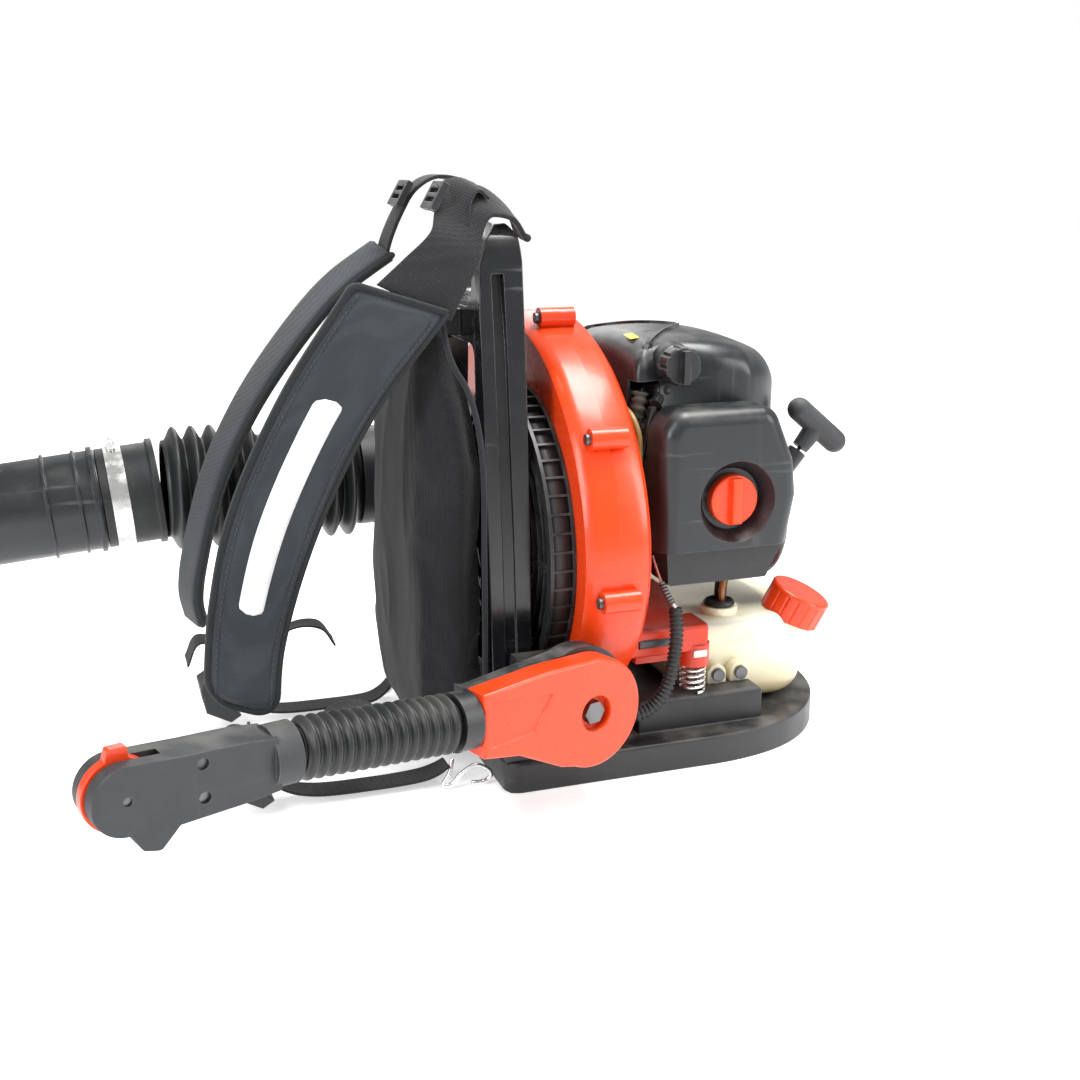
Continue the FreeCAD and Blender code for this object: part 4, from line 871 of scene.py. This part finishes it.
def right_strap():
    """The right strap, lying with its width across the machine and leaning a little."""
    low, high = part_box("shoulder_strap_right")
    middle, half = (low.x + high.x) * 500, (high.x - low.x) * 500
    rows = smooth_rows([(0, y, z) for y, z in RIGHT_RUN], 60).tolist()
    stations = []
    for i in range(0, 60, 3):
        ahead = Vector(rows[min(i + 1, 59)]) - Vector(rows[max(i - 1, 0)])
        lean = ahead.cross(Vector((1, 0, 0))).normalized() * RIGHT_LEAN
        stations.append((middle, rows[i], Vector((half - 3, -lean.y, -lean.z))))
    runs = [((x, row[1], row[2]), tuple(side)) for x, row, side in stations]
    pad = ribbon("shoulder_strap_right_pad", runs, 11.5, 120, 48, 0.8)
    stand_for(pad, "shoulder_strap_right")
    edge = lambda index, reach: Vector(runs[index][0]) + Vector(runs[index][1]) * reach
    last = len(runs) - 1
    down = [tuple(edge(k, 1)) for k in range(last)]
    back = [tuple(edge(k, -1)) for k in range(last - 1, -1, -1)]
    foot = [tuple(edge(last, reach)) for reach in (0.8, 0, -0.8)]
    head = [tuple(edge(0, reach)) for reach in (-0.8, 0, 0.8)]
    rim = down + foot + back + head + down[:2]
    finish_piece(tube("shoulder_strap_right_binding", rim, 3.0, 360, 14),
                 "shoulder_strap_right", BINDING)


def top_webbing():
    """Cloth from the strap's top, turning over the frame's top bar and down behind it."""
    left = [((92, -153, 410), (0, 30, -15)), ((90, -136, 430), (1.5, 25, -13)),
            ((86, -117, 453), (4, 19.5, -10.5)), ((74, -110, 471), (9, 17.4, -9.2)),
            ((66, -101, 485), (15, 14, -12)), ((62, -82, 487), (18, 2, -11)),
            ((60, -62, 476), (20, -3, -4)), ((60, -53, 460), (20, -2, -2))]
    right = [((-78, -138, 438), (19, 0, 0)), ((-72, -134, 455), (19, 0, 0)),
             ((-66, -126, 475), (18, 0, 0)), ((-61, -115, 494), (18, 0, 0)),
             ((-60, -97, 505), (18, 0, 0)), ((-62, -77, 504), (19, 0, 0)),
             ((-65, -60, 496), (19, 0, 0)),
             ((-65, -50, 480), (19, 0, 0)), ((-65, -48, 460), (19, 0, 0))]
    patch = [((72, -117, 474), (8, 16, -8)), ((60, -109, 492), (14, 9, -8)),
             ((56, -97, 500), (15, 5, -5)), ((56, -86, 495), (14, 3, -6))]
    pieces = [ribbon("top_webbing_left", left, 4.6, 90, 32, 1.2),
              ribbon("top_webbing_right", right, 3.6, 90, 32, 0.8),
              ribbon("top_patch_left", patch, 3.0, 60, 32, 0.8),
              tube("top_webbing_hem_left", [(40, -50, 462), (54, -51.5, 460), (66, -53, 459),
                                            (80, -54, 458)], 3.2, 40, 14)]
    for piece in pieces:
        finish_piece(piece, "top_webbing")
    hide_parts("top_webbing")


def lower_webbing():
    flat = lambda half: (half, 0, 0)
    run = [((97, -300, 72), flat(13)), ((97, -296, 44), flat(13)), ((97, -280, 20), flat(13)),
           ((97, -250, 9), flat(13)), ((97, -200, 7), flat(13)), ((97, -162, 8), flat(13)),
           ((100, -146, 13), flat(12)),
           ((104, -137, 20), flat(10))]
    tail = [((116, -330, 60), (12, 0, 2)), ((117, -318, 80), (12, 0, 1)),
            ((116, -292, 72), (12, 2, 0)), ((115, -262, 62), (12, 0, -2)),
            ((114, -232, 84), (12, 0, -1)), ((113, -204, 84), (12, 0, 1)),
            ((112, -190, 66), (11, 0, 2))]
    for label, stations, thickness in (("run", run, 2.4), ("tail", tail, 2.0)):
        obj = ribbon(f"lower_webbing_{label}_left", stations, thickness, 80, 20, 1.2)
        other = mirrored(obj, obj.name.replace("left", "right"))
        for piece in (obj, other):
            finish_piece(piece, "lower_webbing")
        if label == "run":
            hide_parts("lower_webbing")
    bends = [(108, -133, 24), (113, -137, 13), (115, -143, 5), (116, -136, 4.5), (116, -127, 13),
             (116, -115, 19), (116, -104, 14), (116, -101, 8), (116, -106, 3), (116, -118, 3)]
    hook = tube("strap_hook_left", bends, 2.0, 120, 14)
    other = mirrored(hook, "strap_hook_right")
    stand_for(hook, "strap_hooks")
    finish_piece(other, "strap_hooks")


# Hoses and sleeves

def bellows_profile(length, ridge, valley, wall, count, ends):
    """Distance and radius round a bellows wall: out along the ridges, back along the inside."""
    outer = []
    steps = 14
    for i in range(count * steps + 1):
        u = ends + (length - 2 * ends) * i / (count * steps)
        wave = 0.5 - 0.5 * math.cos(2 * math.pi * i / steps)
        outer.append((u, valley + (ridge - valley) * wave ** 0.8))
    outer = [(0, valley)] + outer + [(length, valley)]
    return outer + [(u, r - wall) for u, r in reversed(outer)]


def bellows():
    for node, before, after, label in (("hose_rear", "machine", "hose_middle", "rear"),
                                       ("hose_front", "hose_middle", "hose_end", "front")):
        low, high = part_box(node)
        centre = (low + high) * 500
        length = (high.y - low.y) * 1000
        start = Vector((centre.x, high.y * 1000, centre.z))
        profile = bellows_profile(length, (high.z - low.z) * 500, 46.5, 2.2, 5, 2.5)
        obj = turned("bellows_" + label, profile, start, Vector((0, -1, 0)), 112)
        obj.data.materials.append(MATERIALS[SLOT[node]])
        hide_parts(node)
        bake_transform(obj)


def arm_sleeve():
    """The ribbed rubber sleeve between the throttle arm and the grip."""
    hub = Vector(JOINT["throttle_lift"]["pos_m"])
    across = Vector(JOINT["throttle_lift"]["axis"]).normalized()
    along = Vector((across.y, -across.x, 0))
    rise = math.tan(math.radians(5.8))
    direction = (along + Vector((0, 0, rise))).normalized()
    start = (hub - across * 0.019 + along * 0.1302 + Vector((0, 0, 0.0182))) * 1000
    length = 128.4
    obj = turned("sleeve_ribs", bellows_profile(length, 23.2, 19.2, 4.5, 14, 1.0), start,
                 direction, 64)
    obj.data.materials.append(MATERIALS[SLOT["arm_sleeve"]])
    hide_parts("arm_sleeve")
    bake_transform(obj)


def cables():
    conduit = [(129, -19, 60), (132, 2, 53), (135, 24, 53), (136, 42, 60), (136, 54, 76),
               (135.5, 60, 98), (134.5, 63, 122), (133, 62, 146)]
    ribs = lambda walked: 5.6 + 0.7 * math.sin(2 * math.pi * walked / 4.2)
    obj = tube("throttle_conduit", conduit, ribs, 520, 20)
    stand_for(obj, "throttle_cable")
    inner = [(133, 62, 146), (129, 58, 154), (124, 55, 162), (116, 53, 174), (108, 51, 188)]
    finish_piece(tube("throttle_wire", inner, 1.6, 60, 12), "throttle_cable",
                 MATERIALS["plated_steel"])
    ferrule = tube("throttle_ferrule", [(131, 60, 149), (126, 56, 159), (121, 54, 167)],
                   lambda walked: 2.9 + 0.35 * math.sin(walked * 2.2), 60, 16)
    finish_piece(ferrule, "throttle_cable", MATERIALS["dark_steel"])
    mouth = Vector((58, 142, 119))
    grommet = turned("tank_grommet", [(-8, 0.5), (-8, 9.8), (0.4, 9.8), (0.6, 14), (3, 14.6),
                                      (5, 13), (6, 10.5), (5, 8), (5, 0.5)], mouth,
                     Vector((0, 0, 1)), 48)
    stand_for(grommet, "fuel_lines", MATERIALS["black_rubber"])
    for label, shift, material in (("supply", -4.5, None), ("return", 4.5, AMBER),
                                   ("vent", 0.0, None)):
        back = 4.0 if label == "vent" else 0.0
        route = [(58 + shift, 142 + back, 118), (58 + shift, 142 + back, 128),
                 (61 + shift, 141 + back, 139), (68 + shift, 139 + back, 149),
                 (80 + shift, 136, 156), (90 + shift, 133, 159)]
        line = tube("fuel_line_" + label, route, 3.0, 70, 16)
        finish_piece(line, "fuel_lines", material)
    low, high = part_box("starter_rope")
    pull = Vector(JOINT["starter_pull"]["axis"])
    centre = (low + high) / 2
    ends = [tuple((centre + pull * d / 1000) * 1000) for d in (-20, -10, 0, 10, 20.5)]
    twist = lambda walked: 1.7 + 0.15 * math.sin(walked * 3)
    rope = tube("starter_cord", ends, twist, 120, 12)
    rope.data.materials.append(MATERIALS["webbing"])
    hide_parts("starter_rope")
    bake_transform(rope)


# Small pieces

def small_pieces():
    low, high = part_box("intake_guard")
    reach = (high.z - low.z) * 500 - 9
    width = (high.y - low.y) * 1000
    centre = (low + high) * 500
    screen = turned("intake_screen", [(2, reach), (width - 4, reach), (width - 4, reach - 0.8),
                                      (2, reach - 0.8)],
                    Vector((centre.x, low.y * 1000, centre.z)), Vector((0, 1, 0)))
    finish_piece(screen, "intake_guard", MATERIALS["fan_plastic"])
    low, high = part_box("engine_mount")
    face = high.x * 1000
    white = plate("mount_label", Vector((face + 0.1, 93, 97)), Vector((0, 6.5, 0)),
                  Vector((0, 0, 3.2)), Vector((0.5, 0, 0)))
    finish_piece(white, "engine_mount", LABEL)
    dark = plate("mount_plate", Vector((119.2, 52, 111)), Vector((0, 17, 0)),
                 Vector((0, 0, 3.6)), Vector((0.5, 0, 0)))
    finish_piece(dark, "engine_mount", LABEL_DARK)
    top = cover_height(40, 56)
    yellow = plate("cover_label", Vector((40, 56, top + 0.2)), Vector((8, 0, -1.2)),
                   Vector((0, 4.5, 0.5)), Vector((0, 0, 0.5)))
    finish_piece(yellow, "engine_cover", LABEL_YELLOW)
    for k, (y, z, tall) in enumerate(((46, 312, 26), (62, 308, 22), (74, 304, 18))):
        points = [(70, y, z - tall / 2), (74, y + 3, z), (72, y + 6, z + tall / 2)]
        finish_piece(tube(f"plug_grime_{k}", points, lambda w: 6 + 1.5 * math.sin(w), 24, 14),
                     "cylinder", GRIME)


# Camera, light and floor

LENS = 46.667
SENSOR = 36.0
FLOOR_HALF = 12.0
WORLD_FILL = 0.55


def camera():
    """The photograph's viewing angle."""
    data = bpy.data.cameras.new("camera")
    data.lens = LENS
    data.sensor_width = SENSOR
    look = Vector((-0.91052, 0.32243, -0.25882))
    right = Vector((0.33381, 0.94264, 0.0))
    up = right.cross(look)
    obj = bpy.data.objects.new("camera", data)
    turn = Matrix((right, up, -look)).transposed().to_4x4()
    obj.matrix_world = Matrix.Translation((1.1791, -0.4324, 0.5155)) @ turn
    scene.collection.objects.link(obj)
    scene.camera = obj


def area_light(name, place, target, size, power):
    data = bpy.data.lights.new(name, "AREA")
    data.shape = "RECTANGLE"
    data.size, data.size_y = size
    data.energy = power
    obj = bpy.data.objects.new(name, data)
    obj.location = place
    aim = Vector(target) - Vector(place)
    obj.rotation_euler = aim.to_track_quat("-Z", "Y").to_euler()
    scene.collection.objects.link(obj)


def studio():
    """Four soft lamps, a pale floor, and a white surround that fills less than it shows."""
    area_light("overhead", (0.15, 0.45, 1.9), (0, 0, 0.2), (0.9, 0.7), 42)
    area_light("front_strip", (1.0, -1.6, 1.1), (0, -0.1, 0.2), (0.5, 1.4), 24)
    area_light("rear_strip", (1.3, 1.5, 1.0), (0, 0.1, 0.2), (0.5, 1.3), 20)
    area_light("far_side", (-1.7, 0.2, 1.2), (0, 0, 0.2), (1.2, 1.2), 12)
    world = bpy.data.worlds.new("studio")
    world.use_nodes = True
    background = world.node_tree.nodes["Background"]
    background.inputs[0].default_value = (1, 1, 1, 1)
    path = world.node_tree.nodes.new("ShaderNodeLightPath")
    level = world.node_tree.nodes.new("ShaderNodeMapRange")
    level.inputs["To Min"].default_value = WORLD_FILL
    level.inputs["To Max"].default_value = 1.0
    world.node_tree.links.new(path.outputs["Is Camera Ray"], level.inputs["Value"])
    world.node_tree.links.new(level.outputs["Result"], background.inputs[1])
    scene.world = world
    scene.view_settings.view_transform = "Standard"
    size = FLOOR_HALF
    floor = make_object("floor", [(-size, -size, 0), (size, -size, 0), (size, size, 0),
                                  (-size, size, 0)], [(0, 1, 2, 3)])
    pale = Shader("floor_pale", (0.95, 0.95, 0.95), 0.7, Emission_Color=(1, 1, 1, 1),
                  Emission_Strength=0.482)
    pale.bump(pale.noise(400), 0.05, 0.001)
    floor.data.materials.append(pale.material)


camera()
studio()
dress_cad()
engine_cover()
back_pad()
shoulder_straps()
right_strap()
top_webbing()
lower_webbing()
bellows()
arm_sleeve()
cables()
small_pieces()
